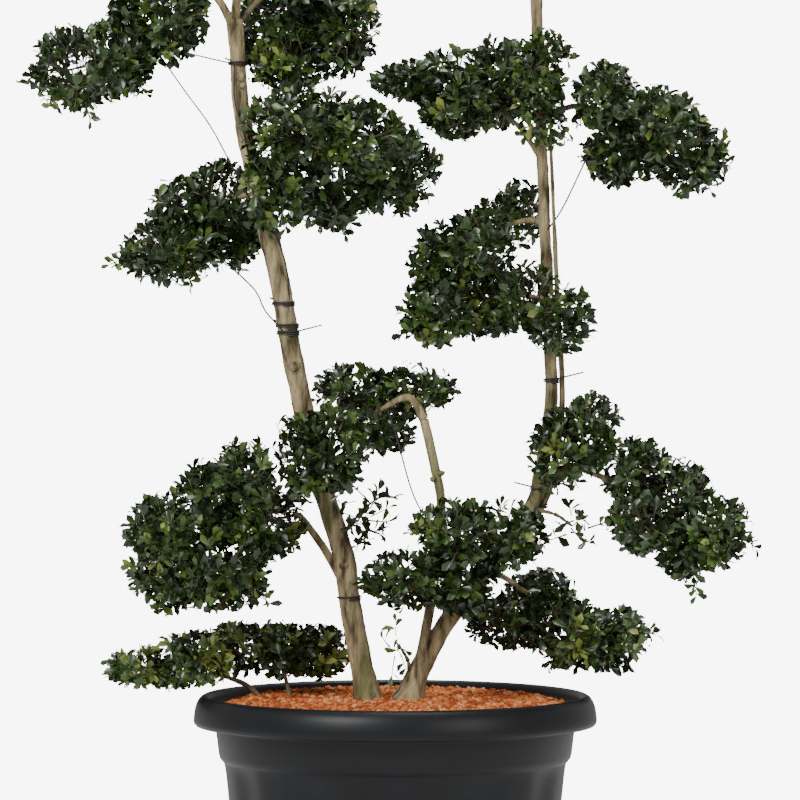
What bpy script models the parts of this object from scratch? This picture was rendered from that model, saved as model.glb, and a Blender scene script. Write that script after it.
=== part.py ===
"""A potted Japanese holly trained as a cloud tree.

Two stems rise from one foot in a round nursery pot. Each carries clipped clouds of small leaves on
short boughs. Metres, +Z up. The origin is the middle of the pot's flat underside, and the front of
the plant faces -Y.
"""

import math
import random
from dataclasses import dataclass

import bmesh
import bpy
from mathutils import Euler, Matrix, Vector

OBJECT_NAME = "potted_japanese_holly"
GAP = 0.0003  # clear space between neighbouring solids

# The pot
POT_HEIGHT = 0.410
RIM_RADIUS = 0.280
RIM_DEPTH = 0.0415
BAND_RADIUS = 0.2490
BAND_FOOT = 0.318
BODY_RADIUS = 0.2382
FOOT_RADIUS = 0.207
WALL = 0.006
FLUTES = 12
FLUTE_DEPTH = 0.004
FLUTE_SHARE = 0.70  # part of each twelfth of the wall that the hollow takes
TURN_STEPS = 48

# The potting fill
SOIL_TOP = 0.402
SOIL_EDGE = 0.386
SOIL_FLAT_RADIUS = 0.205

# Limbs
TRUNK_SIDES = 12
BOUGH_SIDES = 8
TRUNK_STEP = 0.045
BOUGH_STEP = 0.020
FLARE_SHARE = 0.30
FLARE_HEIGHT = 0.016

# Foliage
CORE_SHARE = 0.88
CORE_LUMPS = 0.16
LEAF_LENGTH = 0.058
LEAF_WIDTH = 0.66  # of its length
LEAF_THICKNESS = 0.09  # of its length
WIDEST = 0.58  # where along its length a leaf is widest
LEAN = 0.55  # how far aside of its tip a leaf may be rooted
TWIG_RADIUS = 0.0026
TWIG_SHARE = 0.16  # part of the tips that are twigs and not leaves out of the core
TWIG_REACH = 1.22  # how far twigs may stand out of a lobe
STEM_RADIUS = 0.0045
TIP_SPACING = 0.094  # distance between tips over a mass
HIDDEN = 0.90  # a tip deeper than this in a neighbour lobe would not be seen
LIMB_CLEARANCE = 0.0015
RIM_CLEARANCE = 0.004
OWN_MARGIN = 0.12


@dataclass(frozen=True)
class Station:
    """A place along a stem: where its middle is and how thick it is there."""

    x: float
    y: float
    z: float
    diameter: float


@dataclass(frozen=True)
class Bough:
    """A tapering limb from inside its parent to its tip, bent through one middle point."""

    name: str
    parent: str
    foot_diameter: float
    tip_diameter: float
    foot: tuple
    bend: tuple
    tip: tuple


@dataclass(frozen=True)
class Lobe:
    """One rounded part of a cloud: its centre and half its width, depth and height."""

    centre: tuple
    half: tuple


@dataclass(frozen=True)
class Cloud:
    """A mass of foliage that grows from one stem on a limb and keeps to its own lobes."""

    name: str
    limb: str
    root: tuple
    lobes: tuple
    dense: bool = True
    leaf_length: float = LEAF_LENGTH
    tip_spacing: float = TIP_SPACING


LEFT_TRUNK = (
    Station(-0.038, 0.000, SOIL_TOP, 0.0340),
    Station(-0.063, 0.004, 0.539, 0.0295),
    Station(-0.072, 0.010, 0.604, 0.0300),
    Station(-0.108, 0.012, 0.721, 0.0280),
    Station(-0.140, 0.002, 0.867, 0.0280),
    Station(-0.161, -0.008, 0.988, 0.0270),
    Station(-0.191, 0.000, 1.112, 0.0250),
    Station(-0.212, 0.008, 1.217, 0.0230),
    Station(-0.222, 0.010, 1.345, 0.0220),
)
RIGHT_TRUNK = (
    Station(0.018, 0.000, SOIL_TOP, 0.0360),
    Station(0.036, 0.002, 0.448, 0.0300),
    Station(0.077, 0.006, 0.518, 0.0242),
    Station(0.181, 0.010, 0.658, 0.0208),
    Station(0.202, 0.010, 0.720, 0.0194),
    Station(0.216, 0.004, 0.819, 0.0175),
    Station(0.211, 0.000, 0.957, 0.0168),
    Station(0.203, 0.008, 1.165, 0.0160),
    Station(0.196, 0.010, 1.330, 0.0156),
    Station(0.195, 0.010, 1.395, 0.0170),
)
MIDDLE_STEM = (
    Station(0.030, 0.000, 0.438, 0.0150),
    Station(0.041, -0.008, 0.492, 0.0145),
    Station(0.054, -0.006, 0.570, 0.0138),
    Station(0.064, 0.000, 0.668, 0.0129),
    Station(0.054, 0.002, 0.729, 0.0131),
    Station(0.040, 0.000, 0.792, 0.0131),
)
SIDE_STEM = (
    Station(0.160, 0.006, 0.618, 0.0100),
    Station(0.199, 0.014, 0.662, 0.0100),
    Station(0.219, 0.018, 0.718, 0.0095),
    Station(0.2315, 0.010, 0.819, 0.0085),
    Station(0.2245, -0.006, 0.957, 0.0070),
    Station(0.2155, -0.002, 1.165, 0.0050),
    Station(0.216, -0.004, 1.205, 0.0040),
)
BOUGHS = (
    Bough("arch_bough", "middle_stem", 0.0131, 0.0066,
          (0.040, 0.000, 0.792), (0.018, -0.004, 0.823), (-0.024, -0.002, 0.804)),
    Bough("bough_low_left", "left_trunk", 0.0131, 0.0090,
          (-0.066, 0.006, 0.556), (-0.102, 0.000, 0.618), (-0.134, -0.016, 0.662)),
    Bough("bough_mid_left", "left_trunk", 0.0097, 0.0076,
          (-0.186, 0.000, 1.086), (-0.203, 0.008, 1.101), (-0.224, 0.022, 1.100)),
    Bough("bough_mid_right", "left_trunk", 0.0097, 0.0083,
          (-0.205, 0.004, 1.183), (-0.184, -0.010, 1.181), (-0.163, -0.028, 1.170)),
    Bough("bough_top_left", "left_trunk", 0.0125, 0.0083,
          (-0.221, 0.010, 1.330), (-0.247, 0.012, 1.376), (-0.278, 0.012, 1.392)),
    Bough("bough_top_right", "left_trunk", 0.0097, 0.0069,
          (-0.222, 0.012, 1.334), (-0.184, 0.030, 1.377), (-0.150, 0.046, 1.384)),
    Bough("left_leader", "left_trunk", 0.0138, 0.0097,
          (-0.222, 0.010, 1.335), (-0.219, 0.004, 1.380), (-0.219, 0.000, 1.420)),
    Bough("low_shoot_left", "soil", 0.0083, 0.0062,
          (-0.180, 0.060, 0.390), (-0.206, 0.061, 0.417), (-0.236, 0.060, 0.430)),
    Bough("low_shoot_right", "soil", 0.0069, 0.0055,
          (-0.146, 0.052, 0.388), (-0.151, 0.052, 0.420), (-0.156, 0.058, 0.438)),
    Bough("bough_crown_left", "right_trunk", 0.0083, 0.0055,
          (0.203, 0.008, 1.150), (0.176, 0.006, 1.192), (0.150, 0.002, 1.216)),
    Bough("bough_crown_left_upper", "right_trunk", 0.0076, 0.0055,
          (0.202, 0.010, 1.176), (0.180, 0.020, 1.210), (0.166, 0.028, 1.222)),
    Bough("bough_crown_right", "right_trunk", 0.0097, 0.0076,
          (0.202, 0.008, 1.207), (0.223, 0.004, 1.219), (0.246, -0.006, 1.226)),
    Bough("bough_waist_left", "right_trunk", 0.0097, 0.0069,
          (0.208, 0.004, 1.062), (0.186, 0.018, 1.068), (0.152, 0.030, 1.060)),
    Bough("bough_low_right", "right_trunk", 0.0125, 0.0083,
          (0.202, 0.006, 0.716), (0.252, -0.026, 0.726), (0.302, -0.040, 0.706)),
    Bough("bough_foot_right", "right_trunk", 0.0097, 0.0062,
          (0.123, 0.008, 0.580), (0.150, 0.028, 0.572), (0.186, 0.050, 0.546)),
    Bough("right_leader", "right_trunk", 0.0131, 0.0110,
          (0.195, 0.010, 1.386), (0.199, 0.008, 1.420), (0.205, 0.002, 1.444)),
)
CLOUDS = (
    Cloud("cloud_top_left", "bough_top_left", (-0.278, 0.012, 1.392), (
        Lobe((-0.318, 0.040, 1.388), (0.052, 0.069, 0.044)),
        Lobe((-0.305, -0.004, 1.347), (0.046, 0.082, 0.060)),
        Lobe((-0.355, 0.032, 1.334), (0.044, 0.076, 0.052)),
        Lobe((-0.391, 0.000, 1.289), (0.054, 0.081, 0.052)),
        Lobe((-0.450, 0.040, 1.277), (0.054, 0.065, 0.056)))),
    Cloud("cloud_top_right", "bough_top_right", (-0.150, 0.046, 1.384), (
        Lobe((-0.112, 0.015, 1.390), (0.056, 0.067, 0.036)),
        Lobe((-0.186, 0.080, 1.335), (0.040, 0.063, 0.054)),
        Lobe((-0.148, 0.042, 1.290), (0.056, 0.067, 0.042)),
        Lobe((-0.122, 0.089, 1.344), (0.044, 0.073, 0.046)),
        Lobe((-0.066, 0.038, 1.334), (0.044, 0.076, 0.062)))),
    Cloud("cloud_top", "left_leader", (-0.219, 0.000, 1.420), (
        Lobe((-0.264, 0.036, 1.468), (0.062, 0.086, 0.046)),
        Lobe((-0.174, -0.040, 1.466), (0.062, 0.086, 0.044)),
        Lobe((-0.220, 0.000, 1.500), (0.070, 0.093, 0.044)))),
    Cloud("cloud_mid_right", "bough_mid_right", (-0.163, -0.028, 1.170), (
        Lobe((-0.156, -0.046, 1.118), (0.052, 0.076, 0.066)),
        Lobe((-0.128, -0.080, 1.196), (0.078, 0.089, 0.056)),
        Lobe((-0.078, -0.005, 1.118), (0.056, 0.095, 0.064)),
        Lobe((-0.052, -0.088, 1.180), (0.062, 0.086, 0.052)),
        Lobe((-0.004, -0.021, 1.142), (0.060, 0.086, 0.062)))),
    Cloud("cloud_mid_left", "bough_mid_left", (-0.224, 0.022, 1.100), (
        Lobe((-0.240, 0.030, 1.100), (0.050, 0.060, 0.048)),
        Lobe((-0.240, 0.084, 1.040), (0.050, 0.076, 0.046)),
        Lobe((-0.294, 0.074, 1.078), (0.050, 0.067, 0.046)),
        Lobe((-0.315, 0.017, 1.024), (0.064, 0.070, 0.044)))),
    Cloud("cloud_low_left", "bough_low_left", (-0.134, -0.016, 0.662), (
        Lobe((-0.180, -0.027, 0.654), (0.054, 0.081, 0.052)),
        Lobe((-0.198, -0.068, 0.716), (0.046, 0.076, 0.054)),
        Lobe((-0.256, -0.004, 0.682), (0.054, 0.092, 0.056)),
        Lobe((-0.232, -0.064, 0.592), (0.058, 0.086, 0.060)),
        Lobe((-0.310, -0.055, 0.640), (0.060, 0.092, 0.050)),
        Lobe((-0.310, -0.002, 0.574), (0.058, 0.081, 0.046)))),
    Cloud("cloud_trunk", "left_trunk", (-0.118, 0.010, 0.760), (
        Lobe((-0.138, -0.062, 0.736), (0.044, 0.048, 0.060)),
        Lobe((-0.084, -0.062, 0.754), (0.044, 0.048, 0.062)))),
    Cloud("cloud_arch", "arch_bough", (-0.024, -0.002, 0.804), (
        Lobe((-0.018, 0.050, 0.786), (0.048, 0.056, 0.042)),
        Lobe((-0.060, 0.072, 0.825), (0.058, 0.059, 0.040)),
        Lobe((0.029, 0.050, 0.832), (0.054, 0.052, 0.034)))),
    Cloud("cloud_waist_spray", "left_trunk", (-0.076, 0.011, 0.628), (
        Lobe((-0.048, 0.022, 0.664), (0.046, 0.036, 0.050)),), False, 0.034, 0.100),
    Cloud("cloud_foot_left", "low_shoot_left", (-0.236, 0.060, 0.430), (
        Lobe((-0.270, 0.038, 0.458), (0.044, 0.071, 0.036)),
        Lobe((-0.312, 0.090, 0.449), (0.046, 0.071, 0.036)),
        Lobe((-0.358, 0.050, 0.444), (0.046, 0.052, 0.028)))),
    Cloud("cloud_foot_middle", "low_shoot_right", (-0.156, 0.058, 0.438), (
        Lobe((-0.164, 0.080, 0.466), (0.046, 0.076, 0.038)),
        Lobe((-0.222, 0.110, 0.468), (0.042, 0.071, 0.038)),
        Lobe((-0.106, 0.104, 0.462), (0.046, 0.065, 0.036)))),
    Cloud("cloud_crown_left", "bough_crown_left", (0.150, 0.002, 1.216), (
        Lobe((0.142, 0.056, 1.260), (0.042, 0.076, 0.060)),
        Lobe((0.088, 0.000, 1.220), (0.054, 0.076, 0.040)),
        Lobe((0.084, 0.054, 1.266), (0.052, 0.076, 0.042)),
        Lobe((0.020, -0.002, 1.262), (0.050, 0.056, 0.028)))),
    Cloud("cloud_crown_front", "right_trunk", (0.198, 0.010, 1.255), (
        Lobe((0.202, -0.050, 1.278), (0.046, 0.046, 0.050)),
        Lobe((0.208, -0.047, 1.212), (0.044, 0.042, 0.046)))),
    Cloud("cloud_crown_right", "bough_crown_right", (0.246, -0.006, 1.226), (
        Lobe((0.284, -0.046, 1.232), (0.050, 0.076, 0.052)),
        Lobe((0.314, 0.008, 1.164), (0.054, 0.081, 0.046)),
        Lobe((0.360, -0.044, 1.206), (0.056, 0.081, 0.044)),
        Lobe((0.406, 0.000, 1.158), (0.052, 0.071, 0.054)))),
    Cloud("cloud_waist_left", "bough_waist_left", (0.152, 0.030, 1.060), (
        Lobe((0.116, 0.004, 1.040), (0.048, 0.076, 0.054)),
        Lobe((0.069, 0.074, 1.010), (0.048, 0.076, 0.056)),
        Lobe((0.130, 0.066, 0.958), (0.050, 0.081, 0.056)),
        Lobe((0.062, -0.002, 0.940), (0.054, 0.076, 0.046)))),
    Cloud("cloud_waist_front", "right_trunk", (0.212, 0.000, 0.950), (
        Lobe((0.186, -0.060, 0.964), (0.044, 0.046, 0.046)),
        Lobe((0.228, -0.058, 0.936), (0.046, 0.046, 0.048)))),
    Cloud("cloud_waist_back", "right_trunk", (0.206, 0.006, 1.085), (
        Lobe((0.174, 0.060, 1.076), (0.038, 0.046, 0.046)),)),
    Cloud("cloud_low_right_inner", "right_trunk", (0.212, 0.006, 0.775), (
        Lobe((0.226, -0.056, 0.750), (0.042, 0.046, 0.054)),
        Lobe((0.272, -0.046, 0.772), (0.042, 0.060, 0.055)))),
    Cloud("cloud_low_right", "bough_low_right", (0.302, -0.040, 0.706), (
        Lobe((0.334, -0.015, 0.720), (0.048, 0.076, 0.046)),
        Lobe((0.338, -0.082, 0.656), (0.044, 0.065, 0.044)),
        Lobe((0.392, -0.011, 0.684), (0.048, 0.076, 0.050)),
        Lobe((0.402, -0.028, 0.618), (0.042, 0.065, 0.044)),
        Lobe((0.442, -0.070, 0.642), (0.044, 0.065, 0.050)))),
    Cloud("cloud_centre", "right_trunk", (0.146, 0.010, 0.611), (
        Lobe((0.150, -0.068, 0.636), (0.056, 0.056, 0.046)),
        Lobe((0.082, -0.098, 0.638), (0.060, 0.065, 0.046)),
        Lobe((0.092, -0.066, 0.574), (0.052, 0.059, 0.048)),
        Lobe((0.020, -0.092, 0.576), (0.062, 0.059, 0.040)))),
    Cloud("cloud_side_spray", "right_trunk", (0.186, 0.010, 0.668), (
        Lobe((0.244, -0.020, 0.646), (0.048, 0.036, 0.033)),), False, 0.034, 0.100),
    Cloud("cloud_foot_right", "bough_foot_right", (0.186, 0.050, 0.546), (
        Lobe((0.204, 0.094, 0.534), (0.050, 0.071, 0.042)),
        Lobe((0.160, 0.062, 0.506), (0.056, 0.076, 0.036)),
        Lobe((0.240, 0.030, 0.492), (0.050, 0.076, 0.050)),
        Lobe((0.304, 0.088, 0.482), (0.056, 0.078, 0.046)))),
    Cloud("sucker_shoot", "right_trunk", (0.020, -0.002, 0.430), (
        Lobe((0.001, -0.022, 0.485), (0.020, 0.018, 0.055)),), False, 0.026, 0.066),
    Cloud("cloud_peak", "right_leader", (0.205, 0.002, 1.444), (
        Lobe((0.160, 0.032, 1.488), (0.060, 0.082, 0.046)),
        Lobe((0.246, -0.034, 1.494), (0.062, 0.086, 0.048)),
        Lobe((0.206, 0.004, 1.534), (0.066, 0.089, 0.050)))),
)


def clear_scene():
    """Remove whatever the scene holds, so that the plant stands alone."""
    for thing in list(bpy.data.objects):
        bpy.data.objects.remove(thing, do_unlink=True)


def new_collection(name):
    """Add a collection under the scene and return it."""
    made = bpy.data.collections.new(name)
    bpy.context.scene.collection.children.link(made)
    return made


def new_material(name, colour, roughness):
    """A plain finish of the given colour and roughness."""
    made = bpy.data.materials.new(name)
    made.use_nodes = True
    shader = made.node_tree.nodes["Principled BSDF"]
    shader.inputs["Base Color"].default_value = (*colour, 1.0)
    shader.inputs["Roughness"].default_value = roughness
    return made


def mesh_object(name, collection, build):
    """A new object whose mesh is made by calling build on an empty bmesh."""
    shape = bmesh.new()
    build(shape)
    mesh = bpy.data.meshes.new(name)
    shape.to_mesh(mesh)
    shape.free()
    made = bpy.data.objects.new(name, mesh)
    collection.objects.link(made)
    return made


def shade(thing, material, smooth_angle=math.radians(40)):
    """Dress an object and smooth its round faces."""
    thing.data.materials.clear()
    thing.data.materials.append(material)
    thing.data.shade_smooth()
    thing.data.set_sharp_from_angle(angle=smooth_angle)


def evaluated_mesh(thing):
    """The object's mesh with its modifiers worked in."""
    graph = bpy.context.evaluated_depsgraph_get()
    return bpy.data.meshes.new_from_object(thing.evaluated_get(graph))


def apply_modifiers(thing):
    """Work an object's modifiers into its own mesh."""
    bpy.context.view_layer.update()
    mesh = evaluated_mesh(thing)
    thing.modifiers.clear()
    thing.data = mesh


def turned(name, collection, profile):
    """A solid of revolution about Z. The profile runs down its outer side."""
    mesh = bpy.data.meshes.new(name)
    edges = [(i, i + 1) for i in range(len(profile) - 1)]
    mesh.from_pydata([(r, 0.0, z) for r, z in profile], edges, [])
    made = bpy.data.objects.new(name, mesh)
    collection.objects.link(made)
    screw = made.modifiers.new("turn", "SCREW")
    screw.steps = TURN_STEPS
    screw.render_steps = TURN_STEPS
    screw.use_merge_vertices = True
    screw.merge_threshold = 0.0001
    apply_modifiers(made)
    return made


def inner_wall():
    """The inside of the pot from its floor to its lip, as radius and height."""
    floor_radius = FOOT_RADIUS - 0.013
    return (
        (floor_radius, WALL),
        (floor_radius + 0.004, WALL + 0.004),
        (BODY_RADIUS - FLUTE_DEPTH - 0.0032, BAND_FOOT - 0.008),
        (BAND_RADIUS - 0.010, BAND_FOOT + 0.0035),
        (BAND_RADIUS - 0.0045, POT_HEIGHT - RIM_DEPTH),
        (BAND_RADIUS + 0.0075, POT_HEIGHT - 0.014),
    )


def rim():
    """The rolled rim from its inner lip over the crest to its outer edge."""
    return (
        (RIM_RADIUS - 0.0235, POT_HEIGHT - 0.0050),
        (RIM_RADIUS - 0.0195, POT_HEIGHT - 0.0008),
        (RIM_RADIUS - 0.0150, POT_HEIGHT),
        (RIM_RADIUS - 0.0070, POT_HEIGHT - 0.0055),
        (RIM_RADIUS - 0.0022, POT_HEIGHT - 0.0165),
        (RIM_RADIUS, POT_HEIGHT - 0.0345),
        (RIM_RADIUS - 0.0032, POT_HEIGHT - RIM_DEPTH),
    )


def outer_wall():
    """The outside of the pot from under its rim to its foot."""
    return (
        (BAND_RADIUS, POT_HEIGHT - RIM_DEPTH - 0.0005),
        (BAND_RADIUS - 0.0050, BAND_FOOT + 0.0045),
        (BAND_RADIUS - 0.0080, BAND_FOOT + 0.0005),
        (BODY_RADIUS, BAND_FOOT - 0.0005),
        (FOOT_RADIUS, 0.008),
        (FOOT_RADIUS - 0.006, 0.0),
    )


def flute_depth(angle):
    """How deep the wall is hollowed at this angle round the pot."""
    turn = angle * FLUTES / (2 * math.pi)
    away = abs(turn - round(turn)) * 2 / FLUTE_SHARE
    return FLUTE_DEPTH * 0.5 * (1 + math.cos(math.pi * min(away, 1.0)))


def make_pot(collection, material):
    """The pot: a turned wall with shallow upright flutes below its band."""
    profile = [(0.0, WALL), *inner_wall(), *rim(), *outer_wall(), (0.0, 0.0)]
    pot = turned("pot", collection, profile)
    fluted = (BODY_RADIUS, FOOT_RADIUS, FOOT_RADIUS - 0.006)
    for vertex in pot.data.vertices:
        radius = math.hypot(vertex.co.x, vertex.co.y)
        if vertex.co.z < BAND_FOOT and any(abs(radius - r) < 1e-5 for r in fluted):
            angle = math.atan2(vertex.co.x, -vertex.co.y)
            share = 1 - flute_depth(angle) / radius
            vertex.co.x *= share
            vertex.co.y *= share
    shade(pot, material)
    return pot


def make_soil(collection, material):
    """The potting fill, level round the stems and falling to the wall."""
    wall = [(r - GAP, z + (GAP if z == WALL else 0.0)) for r, z in inner_wall()[:-1]]
    share = (SOIL_EDGE - wall[-1][1]) / (inner_wall()[-1][1] - wall[-1][1])
    edge = wall[-1][0] + share * (inner_wall()[-1][0] - GAP - wall[-1][0])
    top = [(0.0, SOIL_TOP), (SOIL_FLAT_RADIUS, SOIL_TOP), (SOIL_FLAT_RADIUS + 0.024, SOIL_TOP - 0.006)]
    profile = [*top, (edge, SOIL_EDGE), *reversed(wall), (0.0, WALL + GAP)]
    soil = turned("soil", collection, profile)
    shade(soil, material)
    return soil


def smooth_path(points, step):
    """Points about a step apart along a curve through the given ones, each with its diameter."""
    rows = [Vector(p) for p in points]
    ends = [rows[0] * 2 - rows[1], *rows, rows[-1] * 2 - rows[-2]]
    path = []
    for a, b, c, d in zip(ends, ends[1:], ends[2:], ends[3:]):
        pieces = max(1, round((c - b).xyz.length / step))
        for i in range(pieces):
            t = i / pieces
            path.append(
                0.5 * (2 * b + (c - a) * t + (2 * a - 5 * b + 4 * c - d) * t**2 + (3 * b - a - 3 * c + d) * t**3)
            )
    path.append(rows[-1])
    return path


def bough_path(bough):
    """The curve of a bough, through its bend, thinning evenly to its tip."""
    middle = (bough.foot_diameter + bough.tip_diameter) / 2
    points = ((*bough.foot, bough.foot_diameter), (*bough.bend, middle), (*bough.tip, bough.tip_diameter))
    return smooth_path(points, BOUGH_STEP)


def stem_path(stations, flared=False):
    """The curve through a stem's stations, widened at the ground where it is flared."""
    path = smooth_path([(s.x, s.y, s.z, s.diameter) for s in stations], TRUNK_STEP)
    if not flared:
        return path
    below = path[0] * 2 - path[1]
    just_above = path[0].lerp(path[1], 0.35)
    path = [below, path[0], just_above, *path[1:]]
    for point in path:
        height = max(point.z - SOIL_TOP, 0.0)
        point.w *= 1 + FLARE_SHARE * math.exp(-height / FLARE_HEIGHT)
    return path


def tube(name, collection, path, sides, grow=0.0):
    """A closed round limb along a path, made a mesh. grow widens it all over."""
    curve = bpy.data.curves.new(name, "CURVE")
    curve.dimensions = "3D"
    curve.twist_mode = "MINIMUM"
    curve.bevel_depth = 1.0
    curve.bevel_resolution = (sides - 4) // 2
    curve.use_fill_caps = True
    spline = curve.splines.new("POLY")
    spline.points.add(len(path) - 1)
    for point, place in zip(spline.points, path):
        point.co = (*place.xyz, 1.0)
        point.radius = place.w / 2 + grow
    holder = bpy.data.objects.new(name, curve)
    collection.objects.link(holder)
    bpy.context.view_layer.update()
    mesh = evaluated_mesh(holder)
    bpy.data.objects.remove(holder, do_unlink=True)
    shape = bmesh.new()
    shape.from_mesh(mesh)
    bmesh.ops.remove_doubles(shape, verts=shape.verts, dist=1e-6)
    bmesh.ops.recalc_face_normals(shape, faces=shape.faces)
    shape.to_mesh(mesh)
    shape.free()
    made = bpy.data.objects.new(name, mesh)
    collection.objects.link(made)
    return made


def cut_level(thing, height):
    """Cut a limb off flat at a height and close the cut."""
    shape = bmesh.new()
    shape.from_mesh(thing.data)
    whole = [*shape.verts, *shape.edges, *shape.faces]
    cut = bmesh.ops.bisect_plane(
        shape, geom=whole, plane_co=(0, 0, height), plane_no=(0, 0, -1), clear_outer=True
    )
    rim_edges = [e for e in cut["geom_cut"] if isinstance(e, bmesh.types.BMEdge)]
    bmesh.ops.contextual_create(shape, geom=rim_edges)
    bmesh.ops.recalc_face_normals(shape, faces=shape.faces)
    shape.to_mesh(thing.data)
    shape.free()


def combine(thing, others, operation, solver="MANIFOLD"):
    """Apply one Boolean between an object and a list of others."""
    if not others:
        return
    operands = bpy.data.collections.new("operands")
    bpy.context.scene.collection.children.link(operands)
    for other in others:
        operands.objects.link(other)
    joint = thing.modifiers.new("join", "BOOLEAN")
    joint.operation = operation
    joint.operand_type = "COLLECTION"
    joint.collection = operands
    joint.solver = solver
    apply_modifiers(thing)
    bpy.data.collections.remove(operands)


def shells(shape):
    """The separate closed surfaces of a bmesh, each as a set of faces."""
    left = set(shape.faces)
    while left:
        found = {left.pop()}
        edge_of_search = list(found)
        while edge_of_search:
            face = edge_of_search.pop()
            for edge in face.edges:
                for near in edge.link_faces:
                    if near in left:
                        left.discard(near)
                        found.add(near)
                        edge_of_search.append(near)
        yield found


def keep_largest(thing):
    """Drop loose scraps and fill sealed hollows: only the largest surface stays."""
    shape = bmesh.new()
    shape.from_mesh(thing.data)
    found = sorted(shells(shape), key=len)
    scraps = [face for shell in found[:-1] for face in shell]
    bmesh.ops.delete(shape, geom=scraps, context="FACES")
    bmesh.ops.triangulate(shape, faces=shape.faces)
    shape.to_mesh(thing.data)
    shape.free()


class Limbs:
    """Every stem and bough, with the paths that foliage has to keep clear of."""

    def __init__(self, collection, cutters, material):
        self.collection = collection
        self.cutters = cutters
        self.material = material
        self.paths = {}
        self.fat = {}

    def add(self, name, path, sides, parent=None, ground=False):
        """Make one limb, trimmed to its parent with a small gap."""
        made = tube(name, self.collection, path, sides)
        fat = tube(name + "_clear", self.cutters, path, sides, GAP)
        fat.hide_render = True
        fat.display_type = "WIRE"
        if ground:
            cut_level(made, SOIL_TOP + GAP)
        for other in parent or ():
            combine(made, [self.fat[other]], "DIFFERENCE")
        keep_largest(made)
        shade(made, self.material)
        self.paths[name] = path
        self.fat[name] = fat

    def clear(self, point, spare):
        """True where a point is at least the spare distance away from every limb."""
        for path in self.paths.values():
            for a, b in zip(path, path[1:]):
                along = b.xyz - a.xyz
                share = min(max((point - a.xyz).dot(along) / along.length_squared, 0.0), 1.0)
                radius = (a.w + (b.w - a.w) * share) / 2
                if (point - a.xyz - along * share).length < radius + spare:
                    return False
        return True


def make_limbs(collection, cutters, material):
    """The two trunks, the stems beside them and every bough."""
    limbs = Limbs(collection, cutters, material)
    limbs.add("left_trunk", stem_path(LEFT_TRUNK, flared=True), TRUNK_SIDES, ground=True)
    limbs.add("right_trunk", stem_path(RIGHT_TRUNK, flared=True), TRUNK_SIDES, ground=True)
    limbs.add("middle_stem", stem_path(MIDDLE_STEM), BOUGH_SIDES, ["right_trunk"])
    limbs.add("side_stem", stem_path(SIDE_STEM), BOUGH_SIDES, ["right_trunk"])
    made = []
    for bough in BOUGHS:
        rooted = bough.parent == "soil"
        parents = [] if rooted else [bough.parent]
        parents += [name for name in made if not rooted and name in FORKS.get(bough.name, ())]
        limbs.add(bough.name, bough_path(bough), BOUGH_SIDES, parents, ground=rooted)
        made.append(bough.name)
    return limbs


# Boughs that leave a trunk side by side, and so are trimmed to each other too
FORKS = {
    "bough_top_right": ("bough_top_left",),
    "left_leader": ("bough_top_left", "bough_top_right"),
    "bough_crown_left_upper": ("bough_crown_left",),
}


def lobe_level(point, lobe):
    """0 at the middle of a lobe and 1 on its outer surface."""
    return math.sqrt(sum(((point[i] - lobe.centre[i]) / lobe.half[i]) ** 2 for i in range(3)))


def level(point, cloud):
    """0 at the middle of a cloud's nearest lobe and 1 on its outer surface."""
    return min(lobe_level(point, lobe) for lobe in cloud.lobes)


def owns(cloud, point, limit=1.0):
    """True where a point is inside this cloud's space and in no other cloud's."""
    mine = level(point, cloud)
    if mine > limit:
        return False
    return all(other is cloud or level(point, other) > mine + OWN_MARGIN for other in CLOUDS)


def above_rim(point):
    """True where a point is clear of the pot and of the fill inside it."""
    inside = math.hypot(point[0], point[1]) < RIM_RADIUS + RIM_CLEARANCE
    return not inside or point[2] > POT_HEIGHT + RIM_CLEARANCE


def seen(cloud, lobe, point):
    """True where no other lobe of the same cloud buries a point."""
    return all(other is lobe or lobe_level(point, other) > HIDDEN for other in cloud.lobes)


def spread(count, spin):
    """Directions spread evenly over a sphere along a spiral."""
    golden = math.pi * (3 - math.sqrt(5))
    for i in range(count):
        z = 1 - 2 * (i + 0.5) / count
        across = math.sqrt(1 - z * z)
        turn = golden * i + spin
        yield Vector((math.cos(turn) * across, math.sin(turn) * across, z))


def tip_count(cloud, lobe):
    """How many twigs end on a lobe, from its size and the spacing of their tips."""
    a, b, c = lobe.half
    mean = ((a * b) ** 1.6 / 3 + (a * c) ** 1.6 / 3 + (b * c) ** 1.6 / 3) ** (1 / 1.6)
    return max(4, round(4 * math.pi * mean / cloud.tip_spacing**2))


def within(lobe, direction, share):
    """The point of a lobe in a direction, at a share of the way to its surface."""
    return Vector(lobe.centre) + Vector(d * h * share for d, h in zip(direction, lobe.half))


def frame_along(place, along, up):
    """A matrix that stands a shape at a place with its X along one way and its Z near another."""
    x = along.normalized()
    y = up.cross(x)
    y = y.normalized() if y.length > 1e-4 else x.orthogonal().normalized()
    z = x.cross(y)
    return Matrix.Translation(place) @ Matrix((x, y, z)).transposed().to_4x4()


def leaf_shape(shape, matrix, length):
    """A keeled six-sided leaf from its root at the matrix's origin along its X."""
    made = bmesh.ops.create_uvsphere(shape, u_segments=3, v_segments=2, radius=1.0)["verts"]
    for vertex in made:
        keel, side, along = vertex.co
        reach = WIDEST if abs(along) < 0.5 else (1.0 if along > 0 else 0.0)
        vertex.co = (length * reach, -side * length * LEAF_WIDTH / 2, keel * length * LEAF_THICKNESS / 2)
    bmesh.ops.transform(shape, matrix=matrix, verts=made)


def twig_shape(shape, start, end, radius, thin=0.35):
    """A three-sided tapering twig between two points."""
    along = end - start
    turn = Vector((0, 0, 1)).rotation_difference(along).to_matrix().to_4x4()
    middle = Matrix.Translation((start + end) / 2) @ turn
    bmesh.ops.create_cone(
        shape, cap_ends=True, segments=3, radius1=radius, radius2=radius * thin, depth=along.length, matrix=middle
    )


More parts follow.
